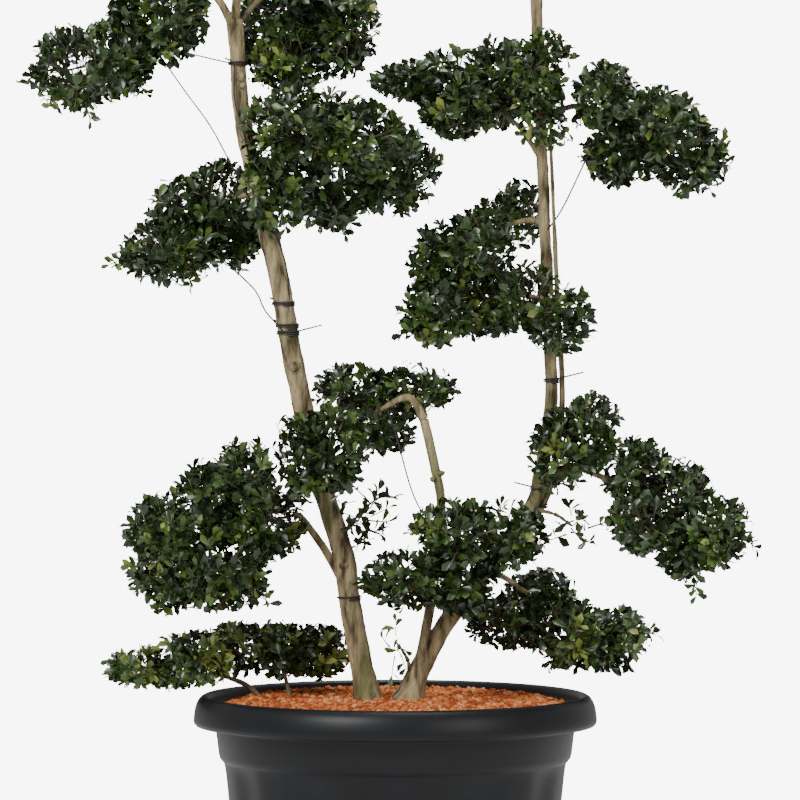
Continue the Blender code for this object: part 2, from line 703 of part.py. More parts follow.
class Growth:
    """Grows one cloud: its core, its twigs and the leaves that stand out of it."""

    def __init__(self, cloud, limbs, collection):
        self.cloud = cloud
        self.limbs = limbs
        self.collection = collection
        self.chance = random.Random(cloud.name)
        self.pieces = []
        self.leaves = 0

    def piece(self, build):
        """Add one small solid to the cloud."""
        name = f"{self.cloud.name}_piece_{len(self.pieces)}"
        self.pieces.append(mesh_object(name, self.collection, build))

    def free(self, point, limit=1.0):
        """True where a point may hold twig or leaf."""
        return owns(self.cloud, point, limit) and above_rim(point) and self.limbs.clear(point, LIMB_CLEARANCE)

    def core(self, lobe):
        """The close inner body of a lobe, lumpy, drawn in wherever it would leave its space."""
        turn = Euler([self.chance.uniform(0, math.pi) for _ in range(3)]).to_matrix()

        def build(shape):
            made = bmesh.ops.create_icosphere(shape, subdivisions=1, radius=1.0)["verts"]
            for vertex in made:
                direction = turn @ vertex.co
                share = CORE_SHARE * (1 + self.chance.uniform(-CORE_LUMPS, CORE_LUMPS))
                while share > 0.1 and not self.free(within(lobe, direction, share + 0.04)):
                    share -= 0.04
                vertex.co = within(lobe, direction, share)
        self.piece(build)

    def leaf(self, root, along, length, limit=1.0):
        """One leaf, shortened until it fits its space, or left out."""
        up = Vector((self.chance.uniform(-0.5, 0.5), self.chance.uniform(-0.5, 0.5), 1.0))
        for share in (1.0, 0.8, 0.64):
            size = length * share
            matrix = frame_along(root, along, up)
            side = size * LEAF_WIDTH / 2
            corners = [(size, 0, 0), (size * WIDEST, side, 0), (size * WIDEST, -side, 0), (size * 0.3, 0, 0)]
            if all(self.free(matrix @ Vector(corner), limit) for corner in corners):
                self.piece(lambda shape, m=matrix, s=size: leaf_shape(shape, m, s))
                self.leaves += 1
                return

    def bare_leaf(self, lobe, direction):
        """One leaf from inside the core to the lobe's surface, lying over to one side."""
        lean = Vector(self.chance.uniform(-LEAN, LEAN) for _ in range(3))
        root = within(lobe, (direction + lean).normalized(), CORE_SHARE * 0.66)
        tip = within(lobe, direction, self.chance.uniform(1.0, TWIG_REACH))
        self.leaf(root, tip - root, (tip - root).length, TWIG_REACH)

    def twig(self, lobe, direction):
        """One twig out of a lobe's middle, with a leaf at its tip and one beside it."""
        start = within(lobe, direction, 0.40 if self.cloud.dense else 0.0)
        reach = (within(lobe, direction, 1.0) - Vector(lobe.centre)).length
        end = within(lobe, direction, max(TWIG_REACH - 0.80 * self.cloud.leaf_length / reach, 0.60))
        if not all(self.free(start.lerp(end, t)) for t in (0.0, 0.5, 1.0)):
            return
        self.piece(lambda shape: twig_shape(shape, start, end, TWIG_RADIUS))
        along = (end - start).normalized()
        lift = Vector((0, 0, self.chance.uniform(0.0, 0.5)))
        self.leaf(start.lerp(end, 0.90), along + lift, self.cloud.leaf_length, TWIG_REACH)
        aside = along.orthogonal().normalized()
        aside.rotate(Matrix.Rotation(self.chance.uniform(0, 2 * math.pi), 3, along))
        self.leaf(start.lerp(end, 0.72), along * 0.55 + aside, self.cloud.leaf_length * 0.85, TWIG_REACH)

    def stem(self):
        """The stem from the limb to the first lobe, and on to each further lobe."""
        nearest = [Vector(self.cloud.root)]
        for i, lobe in enumerate(self.cloud.lobes):
            centre = Vector(lobe.centre)
            start = min(nearest, key=lambda place: (place - centre).length)
            radius = STEM_RADIUS if i == 0 else STEM_RADIUS * 0.8
            self.piece(lambda shape, a=start, b=centre, r=radius: twig_shape(shape, a, b, r, 0.7))
            nearest.append(centre)

    def grow(self, material):
        """Build the whole cloud as one solid, trimmed clear of the limbs."""
        self.stem()
        for lobe in self.cloud.lobes:
            if self.cloud.dense:
                self.core(lobe)
            for direction in spread(tip_count(self.cloud, lobe), self.chance.uniform(0, 2 * math.pi)):
                if not seen(self.cloud, lobe, within(lobe, direction, 1.0)):
                    continue
                if not self.cloud.dense or self.chance.random() < TWIG_SHARE:
                    self.twig(lobe, direction)
                else:
                    self.bare_leaf(lobe, direction)
        whole = self.pieces[0]
        combine(whole, self.pieces[1:], "UNION")
        for piece in self.pieces[1:]:
            bpy.data.objects.remove(piece, do_unlink=True)
        combine(whole, list(self.limbs.fat.values()), "DIFFERENCE")
        keep_largest(whole)
        whole.name = self.cloud.name
        shade(whole, material, 0.0)
        return whole


def main():
    """Build the pot, its fill, the limbs and every cloud of foliage."""
    clear_scene()
    plant = new_collection(OBJECT_NAME)
    cutters = new_collection("cutters")
    black = new_material("pot_black", (0.018, 0.020, 0.022), 0.45)
    clay = new_material("clay_granules", (0.55, 0.20, 0.08), 0.9)
    bark = new_material("bark", (0.38, 0.31, 0.21), 0.85)
    leaf = new_material("holly_leaf", (0.035, 0.080, 0.020), 0.4)
    make_pot(plant, black)
    make_soil(plant, clay)
    limbs = make_limbs(plant, cutters, bark)
    total = 0
    for cloud in CLOUDS:
        growth = Growth(cloud, limbs, plant)
        growth.grow(leaf)
        total += growth.leaves
    print("leaves in all:", total)


main()
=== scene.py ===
"""A potted Japanese holly, trained as a cloud tree, dressed in its real surfaces.

Every place and size is in metres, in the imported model's own frame.
"""

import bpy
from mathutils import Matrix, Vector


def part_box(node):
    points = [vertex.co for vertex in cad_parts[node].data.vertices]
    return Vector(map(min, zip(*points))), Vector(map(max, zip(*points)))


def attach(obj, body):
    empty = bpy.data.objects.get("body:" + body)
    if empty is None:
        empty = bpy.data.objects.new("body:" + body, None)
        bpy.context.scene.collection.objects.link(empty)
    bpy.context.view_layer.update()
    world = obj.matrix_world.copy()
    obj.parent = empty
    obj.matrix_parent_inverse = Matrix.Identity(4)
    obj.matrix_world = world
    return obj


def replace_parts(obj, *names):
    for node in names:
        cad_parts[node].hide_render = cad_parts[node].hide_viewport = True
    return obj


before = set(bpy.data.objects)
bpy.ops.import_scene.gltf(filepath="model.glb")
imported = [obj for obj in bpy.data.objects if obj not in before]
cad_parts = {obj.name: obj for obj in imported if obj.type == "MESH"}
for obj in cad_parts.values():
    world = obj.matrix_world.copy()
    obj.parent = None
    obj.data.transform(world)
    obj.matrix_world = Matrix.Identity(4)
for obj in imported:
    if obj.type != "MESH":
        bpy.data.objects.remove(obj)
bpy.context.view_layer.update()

import logging
import math
from dataclasses import dataclass, field
from enum import Enum

import bmesh
import bpy
import numpy as np
from mathutils import Matrix, Vector, noise

logging.basicConfig(level=logging.INFO, format="%(message)s")
log = logging.getLogger("holly")

Point = tuple[float, float, float]
Station = tuple[float, float, float, float]
Section = list[tuple[float, float]]
Material = bpy.types.Material
Mesh = bpy.types.Mesh
Node = bpy.types.Node
NodeTree = bpy.types.NodeTree

POT_HEIGHT = 0.410
RIM_RADIUS = 0.280
SOIL_TOP = 0.402
SOIL_EDGE = 0.386
SOIL_FLAT_RADIUS = 0.205
SOIL_SLOPE_RADIUS = 0.229
SOIL_SLOPE_DROP = 0.006
FULL_TURN = 2 * math.pi
GOLDEN_TURN = math.pi * (3 - math.sqrt(5))


class Slot(Enum):
    """Names for four material slots, which the script does not use."""

    POT = "pot_plastic"
    FILL = "clay_granules"
    BARK = "bark"
    LEAF = "holly_leaf"


@dataclass(frozen=True)
class Speckle:
    """The effect that every finish shares: a mask of soft blotches and a finer height for relief."""

    broad_detail: float = 5.0
    fine_detail: float = 3.0
    fine_scale: float = 5.0
    mask_from: float = 0.35
    mask_to: float = 0.65

    def build(self) -> NodeTree:
        """Build the node group.

        Returns:
            The group, with the inputs Vector and Scale and the outputs Mask and Height.
        """
        group = bpy.data.node_groups.new("Speckle", "ShaderNodeTree")
        group.interface.new_socket("Vector", in_out="INPUT", socket_type="NodeSocketVector")
        group.interface.new_socket("Scale", in_out="INPUT", socket_type="NodeSocketFloat")
        group.interface.new_socket("Mask", in_out="OUTPUT", socket_type="NodeSocketFloat")
        group.interface.new_socket("Height", in_out="OUTPUT", socket_type="NodeSocketFloat")
        nodes, links = group.nodes, group.links
        start, end = nodes.new("NodeGroupInput"), nodes.new("NodeGroupOutput")
        broad, fine = nodes.new("ShaderNodeTexNoise"), nodes.new("ShaderNodeTexNoise")
        broad.inputs["Detail"].default_value = self.broad_detail
        fine.inputs["Detail"].default_value = self.fine_detail
        times = nodes.new("ShaderNodeMath")
        times.operation = "MULTIPLY"
        times.inputs[1].default_value = self.fine_scale
        ramp = nodes.new("ShaderNodeMapRange")
        ramp.inputs["From Min"].default_value = self.mask_from
        ramp.inputs["From Max"].default_value = self.mask_to
        links.new(start.outputs["Scale"], times.inputs[0])
        links.new(start.outputs["Scale"], broad.inputs["Scale"])
        links.new(times.outputs[0], fine.inputs["Scale"])
        for pattern in (broad, fine):
            links.new(start.outputs["Vector"], pattern.inputs["Vector"])
        links.new(broad.outputs["Fac"], ramp.inputs["Value"])
        links.new(ramp.outputs["Result"], end.inputs["Mask"])
        links.new(fine.outputs["Fac"], end.inputs["Height"])
        return group


@dataclass(frozen=True)
class Finish:
    """A surface of two colours in soft blotches, with a fine relief and sometimes patches of a third."""

    name: str
    dark: Point
    light: Point
    roughness: float
    scale: float
    relief: float = 0.2
    relief_depth: float = 0.0004
    stretch: Point = (1.0, 1.0, 1.0)
    coat: float = 0.0
    coat_roughness: float = 0.25
    specular: float = 0.5
    patch: Point | None = None
    patch_scale: float = 12.0
    patch_from: float = 0.55
    patch_most: float = 0.75

    def material(self, group: NodeTree) -> Material:
        """Build the material.

        Args:
            group: The shared speckle group.

        Returns:
            The new material.
        """
        made = bpy.data.materials.new(self.name)
        made.use_nodes = True
        tree = made.node_tree
        shader = tree.nodes["Principled BSDF"]
        place = tree.nodes.new("ShaderNodeTexCoord")
        mapping = tree.nodes.new("ShaderNodeMapping")
        mapping.inputs["Scale"].default_value = self.stretch
        tree.links.new(place.outputs["Object"], mapping.inputs["Vector"])
        blotch = self.speckle(tree, group, mapping, self.scale)
        mix = self.mix(tree, self.light, blotch.outputs["Mask"])
        mix.inputs["A"].default_value = (*self.dark, 1.0)
        if self.patch:
            mix = self.patches(tree, group, mapping, mix)
        bump = tree.nodes.new("ShaderNodeBump")
        bump.inputs["Strength"].default_value = self.relief
        bump.inputs["Distance"].default_value = self.relief_depth
        tree.links.new(mix.outputs["Result"], shader.inputs["Base Color"])
        tree.links.new(blotch.outputs["Height"], bump.inputs["Height"])
        tree.links.new(bump.outputs["Normal"], shader.inputs["Normal"])
        shader.inputs["Roughness"].default_value = self.roughness
        shader.inputs["Coat Weight"].default_value = self.coat
        shader.inputs["Coat Roughness"].default_value = self.coat_roughness
        shader.inputs["Specular IOR Level"].default_value = self.specular
        return made

    def speckle(self, tree: NodeTree, group: NodeTree, mapping: Node, scale: float) -> Node:
        """Place the speckle group.

        Args:
            tree: The material's nodes.
            group: The speckle group.
            mapping: The node that gives the place on the piece.
            scale: How fine the speckles are.

        Returns:
            The group's node.
        """
        node = tree.nodes.new("ShaderNodeGroup")
        node.node_tree = group
        node.inputs["Scale"].default_value = scale
        tree.links.new(mapping.outputs["Vector"], node.inputs["Vector"])
        return node

    def mix(self, tree: NodeTree, colour: Point, share: bpy.types.NodeSocket) -> Node:
        """Place a mix whose second colour shows by a share.

        Args:
            tree: The material's nodes.
            colour: The second colour.
            share: The socket that gives the share.

        Returns:
            The mix node.
        """
        node = tree.nodes.new("ShaderNodeMix")
        node.data_type = "RGBA"
        node.inputs["B"].default_value = (*colour, 1.0)
        tree.links.new(share, node.inputs["Factor"])
        return node

    def patches(self, tree: NodeTree, group: NodeTree, mapping: Node, below: Node) -> Node:
        """Lay patches of the third colour over the other two.

        Args:
            tree: The material's nodes.
            group: The speckle group.
            mapping: The node that gives the place on the piece.
            below: The mix of the other two colours.

        Returns:
            The mix of all three.
        """
        spots = self.speckle(tree, group, mapping, self.patch_scale)
        share = tree.nodes.new("ShaderNodeMapRange")
        share.inputs["From Min"].default_value = self.patch_from
        share.inputs["To Max"].default_value = self.patch_most
        tree.links.new(spots.outputs["Mask"], share.inputs["Value"])
        over = self.mix(tree, self.patch, share.outputs["Result"])
        tree.links.new(below.outputs["Result"], over.inputs["A"])
        return over


POT_BLACK = Finish(
    "PotBlack", (0.0022, 0.0025, 0.0032), (0.0046, 0.0052, 0.0066), 0.42, 9.0, 0.15, 0.0002, specular=0.28
)
# The fill below the granules is real; its clay colour is darkened as painted shade for the gaps between the
# granules.
CLAY_BED_PAINTED_SHADE = Finish("ClayBedPaintedShade", (0.060, 0.018, 0.008), (0.200, 0.060, 0.024), 0.95, 90.0, 0.8, 0.003, specular=0.1)
CLAY_TINTS = (
    Finish("ClayDeep", (0.230, 0.048, 0.013), (0.380, 0.090, 0.024), 0.95, 220.0, 0.5, 0.0008, specular=0.15),
    Finish("ClayWarm", (0.480, 0.125, 0.032), (0.600, 0.190, 0.055), 0.95, 220.0, 0.5, 0.0008, specular=0.15),
    Finish("ClayPale", (0.600, 0.230, 0.090), (0.720, 0.330, 0.150), 0.95, 220.0, 0.5, 0.0008, specular=0.15),
)
BARK_PALE = Finish(
    "BarkPale", (0.060, 0.045, 0.020), (0.430, 0.345, 0.195), 0.85, 60.0, 1.0, 0.0030, (1.6, 1.6, 0.34),
    specular=0.2, patch=(0.150, 0.155, 0.060), patch_scale=11.0,
)
BARK_YOUNG = Finish(
    "BarkYoung", (0.070, 0.058, 0.028), (0.240, 0.190, 0.100), 0.75, 60.0, 0.5, 0.0008,
    patch=(0.090, 0.110, 0.040),
)
BARK_TWIG = Finish("BarkTwig", (0.075, 0.062, 0.028), (0.210, 0.170, 0.090), 0.75, 90.0, 0.3, 0.0004)
LEAF_TINTS = (
    Finish("LeafDeep", (0.009, 0.020, 0.005), (0.019, 0.040, 0.009), 0.32, 40.0, 0.15, coat=0.15),
    Finish("LeafMid", (0.019, 0.042, 0.008), (0.038, 0.076, 0.014), 0.32, 40.0, 0.15, coat=0.15),
    Finish("LeafFresh", (0.044, 0.086, 0.012), (0.084, 0.142, 0.022), 0.38, 40.0, 0.15, coat=0.1),
    Finish("LeafYoung", (0.130, 0.170, 0.026), (0.240, 0.280, 0.058), 0.45, 40.0, 0.15),
)
BLOSSOM_CREAM = Finish("Blossom", (0.55, 0.56, 0.30), (0.78, 0.77, 0.52), 0.6, 200.0)
WIRE_BROWN = Finish("TrainingWire", (0.010, 0.009, 0.008), (0.030, 0.024, 0.018), 0.5, 120.0)
FLOOR_PALE = Finish("StudioFloor", (0.80, 0.80, 0.80), (0.84, 0.84, 0.84), 0.9, 2.0, 0.02)


def piece(name: str, mesh: Mesh, materials: list[Material]) -> bpy.types.Object:
    """Link a finished mesh as a piece that moves with the plant.

    Args:
        name: The piece's name.
        mesh: Its mesh, in place.
        materials: Its materials, in slot order.

    Returns:
        The new object.
    """
    made = bpy.data.objects.new(name, mesh)
    bpy.context.scene.collection.objects.link(made)
    for material in materials:
        mesh.materials.append(material)
    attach(made, "root")
    log.info("%s: %d faces", name, len(mesh.polygons))
    return made


def turned(section: Section, steps: int) -> bmesh.types.BMesh:
    """Spin a half section a full turn round the upright axis.

    Args:
        section: The radius and height of each point, from the axis back to the axis.
        steps: How many steps the turn takes.

    Returns:
        The closed shape.
    """
    shape = bmesh.new()
    row = [shape.verts.new((radius, 0.0, height)) for radius, height in section]
    edges = [shape.edges.new(pair) for pair in zip(row, row[1:])]
    bmesh.ops.spin(
        shape, geom=[*row, *edges], cent=(0, 0, 0), axis=(0, 0, 1), angle=FULL_TURN, steps=steps, use_merge=True
    )
    bmesh.ops.remove_doubles(shape, verts=shape.verts, dist=1e-5)
    return shape


def smooth_mesh(shape: bmesh.types.BMesh, name: str) -> Mesh:
    """Face a shape outwards and make it a smooth mesh.

    Args:
        shape: The shape, which is freed.
        name: The mesh's name.

    Returns:
        The mesh.
    """
    bmesh.ops.recalc_face_normals(shape, faces=shape.faces)
    mesh = bpy.data.meshes.new(name)
    shape.to_mesh(mesh)
    shape.free()
    mesh.shade_smooth()
    return mesh


def smooth_path(points: np.ndarray, step: float) -> np.ndarray:
    """Points about a step apart on a smooth curve through the given ones.

    Args:
        points: Rows of x, y, z and diameter.
        step: The distance between points.

    Returns:
        The rows of the finer path.
    """
    ends = np.vstack([2 * points[0] - points[1], points, 2 * points[-1] - points[-2]])
    path = []
    for a, b, c, d in zip(ends, ends[1:], ends[2:], ends[3:]):
        count = max(1, round(float(np.linalg.norm((c - b)[:3])) / step))
        bend, twist = 2 * a - 5 * b + 4 * c - d, 3 * b - a - 3 * c + d
        path += [0.5 * (2 * b + (c - a) * t + bend * t**2 + twist * t**3) for t in np.arange(count) / count]
    path.append(points[-1])
    return np.array(path)


def tube_mesh(name: str, path: np.ndarray, bevel: int) -> Mesh:
    """A closed round tube along a path, made from a bevelled curve.

    Args:
        name: The mesh's name.
        path: Rows of x, y, z and diameter.
        bevel: The bevel resolution; the tube has 4 + 2 * bevel sides.

    Returns:
        The tube's mesh.
    """
    curve = bpy.data.curves.new(name, "CURVE")
    curve.dimensions = "3D"
    curve.twist_mode = "MINIMUM"
    curve.bevel_depth = 1.0
    curve.bevel_resolution = bevel
    curve.use_fill_caps = True
    spline = curve.splines.new("POLY")
    spline.points.add(len(path) - 1)
    for point, row in zip(spline.points, path):
        point.co = (*row[:3], 1.0)
        point.radius = row[3] / 2
    holder = bpy.data.objects.new(name, curve)
    bpy.context.scene.collection.objects.link(holder)
    bpy.context.view_layer.update()
    raw = bpy.data.meshes.new_from_object(holder.evaluated_get(bpy.context.evaluated_depsgraph_get()))
    bpy.data.objects.remove(holder, do_unlink=True)
    shape = bmesh.new()
    shape.from_mesh(raw)
    bpy.data.meshes.remove(raw)
    bmesh.ops.remove_doubles(shape, verts=shape.verts, dist=1e-6)
    return smooth_mesh(shape, name)


def joined(meshes: list[Mesh], name: str) -> Mesh:
    """Several closed meshes as one.

    Args:
        meshes: The meshes to join, which are removed.
        name: The new mesh's name.

    Returns:
        The joined mesh.
    """
    shape = bmesh.new()
    for mesh in meshes:
        shape.from_mesh(mesh)
        bpy.data.meshes.remove(mesh)
    return smooth_mesh(shape, name)


def unit(rows: np.ndarray) -> np.ndarray:
    """Scale rows to length one."""
    return rows / np.maximum(np.linalg.norm(rows, axis=-1, keepdims=True), 1e-9)


def axes_along(along: np.ndarray, up: np.ndarray) -> np.ndarray:
    """Axes with the first along one way and the third near another.

    Args:
        along: The first axes, n by 3.
        up: The ways that the third axes lean to, n by 3.

    Returns:
        The axes as rows, n by 3 by 3.
    """
    first = unit(along)
    second = unit(np.cross(up, first))
    return np.stack([first, second, np.cross(first, second)], axis=1)


def any_axes(rng: np.random.Generator, count: int) -> np.ndarray:
    """Axes turned at random.

    Args:
        rng: Where the chances come from.
        count: How many sets of axes there are.

    Returns:
        The axes as rows, count by 3 by 3.
    """
    return axes_along(rng.normal(size=(count, 3)), rng.normal(size=(count, 3)))


@dataclass
class Copies:
    """Many small copies of one template shape, gathered into a single mesh."""

    points: np.ndarray
    faces: list[tuple[int, ...]]
    placed: list[np.ndarray] = field(default_factory=list)
    tints: list[np.ndarray] = field(default_factory=list)

    @classmethod
    def of(cls, shape: bmesh.types.BMesh) -> "Copies":
        """Take a shape as the template.

        Args:
            shape: The shape, which is freed.

        Returns:
            The copies, none placed yet.
        """
        shape.verts.index_update()
        points = np.array([vertex.co[:] for vertex in shape.verts])
        faces = [tuple(vertex.index for vertex in face.verts) for face in shape.faces]
        shape.free()
        return cls(points, faces)

    def add(
        self, origin: np.ndarray, axes: np.ndarray, size: np.ndarray, tint: np.ndarray | None = None
    ) -> None:
        """Place copies.

        Args:
            origin: Where each copy's own origin goes, n by 3.
            axes: Each copy's three axes as rows, n by 3 by 3.
            size: Each copy's size along its axes, n by 3.
            tint: Each copy's material index, or None for the first material.
        """
        local = self.points[None] * size[:, None, :]
        self.placed.append(origin[:, None, :] + local @ axes)
        self.tints.append(np.zeros(len(origin), int) if tint is None else tint)

    def placed_count(self) -> int:
        """Count the copies placed."""
        return sum(len(part) for part in self.placed)

    def mesh(self, name: str, smooth: bool = True) -> Mesh:
        """Join the copies.

        Args:
            name: The mesh's name.
            smooth: Whether its faces are shaded smooth.

        Returns:
            The mesh.
        """
        points = np.concatenate(self.placed)
        count, each = len(points), len(self.points)
        corners = np.array([corner for face in self.faces for corner in face])
        sides = np.array([len(face) for face in self.faces])
        loops = (np.arange(count)[:, None] * each + corners[None]).ravel()
        starts = np.cumsum(np.tile(sides, count)) - np.tile(sides, count)
        tints = np.repeat(np.concatenate(self.tints), len(sides))
        made = bpy.data.meshes.new(name)
        made.vertices.add(count * each)
        made.vertices.foreach_set("co", points.reshape(-1).astype(np.float32))
        made.loops.add(len(loops))
        made.loops.foreach_set("vertex_index", loops.astype(np.int32))
        made.polygons.add(len(starts))
        made.polygons.foreach_set("loop_start", starts.astype(np.int32))
        made.polygons.foreach_set("material_index", tints.astype(np.int32))
        made.update(calc_edges=True)
        made.validate()
        if smooth:
            made.shade_smooth()
        return made


# How far along the leaf, its half width there, and the heights of its midrib and its edges
LEAF_STATIONS = (
    (0.00, 0.00, 0.00, 0.00),
    (0.34, 0.31, 0.00, 0.06),
    (0.72, 0.48, -0.03, 0.05),
    (1.00, 0.00, -0.12, -0.12),
)


def leaf_template() -> Copies:
    """A small obovate leaf of unit length, folded a little along its midrib.

    Returns:
        The template, from its stalk end along X.
    """
    last = len(LEAF_STATIONS) - 1
    shape = bmesh.new()
    bmesh.ops.create_grid(shape, x_segments=last, y_segments=2, size=0.5)
    for vertex in shape.verts:
        along, half, midrib, edge = LEAF_STATIONS[round((vertex.co.x + 0.5) * last)]
        side = round(2 * vertex.co.y)
        vertex.co = (along, side * half, edge if side else midrib)
    bmesh.ops.remove_doubles(shape, verts=shape.verts, dist=1e-4)
    return Copies.of(shape)


def twig_template() -> Copies:
    """A four-sided twig of unit length and thickness, half as thick at its tip.

    Returns:
        The template, from its foot along X.
    """
    laid = Matrix.Rotation(math.pi / 4, 4, "X") @ Matrix.Rotation(math.pi / 2, 4, "Y")
    place = Matrix.Translation((0.5, 0, 0)) @ laid
    shape = bmesh.new()
    bmesh.ops.create_cone(shape, cap_ends=True, segments=4, radius1=0.5, radius2=0.25, depth=1.0, matrix=place)
    return Copies.of(shape)


def pebble_template(seed: int, detail: int = 1) -> Copies:
    """A rough little lump about one unit across.

    Args:
        seed: Which lump it is.
        detail: How many times its faces are divided.

    Returns:
        The template.
    """
    rng = np.random.default_rng(seed)
    shape = bmesh.new()
    bmesh.ops.create_icosphere(shape, subdivisions=detail, radius=0.5)
    pebble = Copies.of(shape)
    pebble.points *= rng.uniform(0.82, 1.14, (len(pebble.points), 1))
    return pebble


@dataclass
class Pot:
    """The round moulded pot with its rolled rim, its band and its fluted wall."""

    rim_depth: float = 0.0415
    band_radius: float = 0.2490
    band_foot: float = 0.318
    body_radius: float = 0.2382
    foot_radius: float = 0.207
    wall: float = 0.0060
    flutes: int = 12
    flute_depth: float = 0.004
    flute_share: float = 0.70
    flute_rise: float = 0.006
    skin: float = 0.0045
    steps: int = 192

    def inside(self) -> Section:
        """The half section of the inner wall, from the middle of its floor up to the rim.

        Returns:
            The radius and height of each point.
        """
        foot, body, band = self.foot_radius, self.body_radius, self.band_radius
        return [
            (0.0, self.wall), (foot - 0.013, self.wall), (foot - 0.009, self.wall + 0.004),
            (body - 0.0075, self.band_foot - 0.008), (band - 0.010, self.band_foot + 0.0035),
            (band - 0.0045, POT_HEIGHT - self.rim_depth), (band + 0.0060, POT_HEIGHT - 0.018),
            (band + 0.0075, POT_HEIGHT - 0.0095),
        ]

    def rim(self) -> Section:
        """The half section of the rolled rim, from its inner edge to its lower lip.

        Returns:
            The radius and height of each point.
        """
        curve = (
            (0.0230, 0.0050), (0.0205, 0.0018), (0.0165, 0.0002), (0.0140, 0.0004), (0.0095, 0.0030),
            (0.0055, 0.0085), (0.0024, 0.0165), (0.0008, 0.0260), (0.0, 0.0345), (0.0008, 0.0385),
            (0.0032, 0.0412), (0.0070, self.rim_depth),
        )
        return [(RIM_RADIUS - inwards, POT_HEIGHT - down) for inwards, down in curve]

    def outside(self) -> Section:
        """The half section of the band and the wall, from the rim to the middle of the underside.

        Returns:
            The radius and height of each point.
        """
        foot, body, band = self.foot_radius, self.body_radius, self.band_radius
        top = POT_HEIGHT - self.rim_depth
        edge = [
            (band + 0.003, top - 0.0006), (band + 0.0004, top - 0.0022), (band, top - 0.006),
            (band - 0.0040, self.band_foot + 0.0110), (band - 0.0055, self.band_foot + 0.0055),
            (band - 0.0085, self.band_foot + 0.0016), (body + 0.0006, self.band_foot + 0.0002),
            (body, self.band_foot - 0.0020),
        ]
        wall = [
            (body + (foot - body) * share, self.band_foot - 0.002 - (self.band_foot - 0.012) * share)
            for share in (0.04, 0.1, 0.3, 0.5, 0.7, 0.9, 0.97)
        ]
        return [*edge, *wall, (foot - 0.0010, 0.005), (foot - 0.0040, 0.0012), (foot - 0.008, 0.0), (0.0, 0.0)]

    def hollow(self, angle: float) -> float:
        """How deep the wall is hollowed at an angle round the pot.

        Args:
            angle: The angle from the front.

        Returns:
            The depth.
        """
        turn = angle * self.flutes / FULL_TURN
        away = abs(turn - round(turn)) * 2 / self.flute_share
        return self.flute_depth * 0.5 * (1 + math.cos(math.pi * min(away, 1.0)))

    def press_flutes(self, shape: bmesh.types.BMesh) -> None:
        """Press the flutes into the outer wall below the band.

        Args:
            shape: The turned pot.
        """
        for vertex in shape.verts:
            radius = math.hypot(vertex.co.x, vertex.co.y)
            below = (self.band_foot - vertex.co.z) / self.flute_rise
            outer = self.foot_radius + (self.body_radius - self.foot_radius) * vertex.co.z / self.band_foot
            if below > 0 and radius > outer - self.skin:
                depth = self.hollow(math.atan2(vertex.co.x, -vertex.co.y)) * min(below, 1.0)
                vertex.co.x *= 1 - depth / radius
                vertex.co.y *= 1 - depth / radius

    def build(self, material: Material) -> None:
        """Build the pot.

        Args:
            material: The pot's material.
        """
        shape = turned([*self.inside(), *self.rim(), *self.outside()], self.steps)
        self.press_flutes(shape)
        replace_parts(piece("PotShell", smooth_mesh(shape, "PotShell"), [material]), "pot")


@dataclass
class Fill:
    """The potting fill and the layer of fired clay granules on it."""

    count: int = 5000
    smallest: float = 0.0078
    largest: float = 0.0135
    reach: float = 0.2545
    waver: float = 0.003
    sunk: float = 0.0050
    steps: int = 96
    seed: int = 41
    tint_shares: Point = (0.35, 0.45, 0.20)

    def bed_section(self) -> Section:
        """The half section of the fill, whose top lies in the gaps between the granules.

        Returns:
            The radius and height of each point.
        """
        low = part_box("soil")[0].z
        return [
            (0.0, low), (0.2000, low), (0.2315, 0.300), (0.2400, SOIL_EDGE - 0.030),
            (0.2460, SOIL_EDGE - self.sunk - 0.002), (0.2440, SOIL_EDGE - self.sunk),
            (SOIL_SLOPE_RADIUS, SOIL_TOP - SOIL_SLOPE_DROP - self.sunk),
            (SOIL_FLAT_RADIUS, SOIL_TOP - self.sunk), (0.0, SOIL_TOP - self.sunk),
        ]

    def granules(self) -> Copies:
        """Scatter the granules over the fill.

        Returns:
            The granules.
        """
        rng = np.random.default_rng(self.seed)
        bits = pebble_template(7)
        index = np.arange(self.count)
        radius = self.reach * np.sqrt((index + 0.5) / self.count)
        turn = index * GOLDEN_TURN + rng.uniform(-0.02, 0.02, self.count)
        radius = np.clip(radius + rng.uniform(-self.waver, self.waver, self.count), 0, self.reach - self.waver)
        size = rng.uniform(self.smallest, self.largest, self.count)
        level = np.interp(
            radius, [0, SOIL_FLAT_RADIUS, SOIL_SLOPE_RADIUS, 0.256],
            [SOIL_TOP, SOIL_TOP, SOIL_TOP - SOIL_SLOPE_DROP, SOIL_EDGE],
        )
        height = level - 0.0010 + size * rng.uniform(-0.30, 0.18, self.count)
        origin = np.stack([radius * np.cos(turn), radius * np.sin(turn), height], axis=1)
        axes = any_axes(rng, self.count)
        stretch = size[:, None] * rng.uniform(0.75, 1.15, (self.count, 3))
        bits.add(origin, axes, stretch, rng.choice(3, self.count, p=self.tint_shares))
        return bits

    def build(self, below: Material, tints: list[Material]) -> None:
        """Build the fill and its granules.

        Args:
            below: The material of the fill below the granules, a clay colour darkened as painted shade for the
                gaps between them.
            tints: The granules' materials.
        """
        bed = smooth_mesh(turned(self.bed_section(), self.steps), "ClayBedPaintedShade")
        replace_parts(piece("ClayBedPaintedShade", bed, [below]), "soil")
        piece("ClayGranules", self.granules().mesh("ClayGranules", smooth=False), tints)


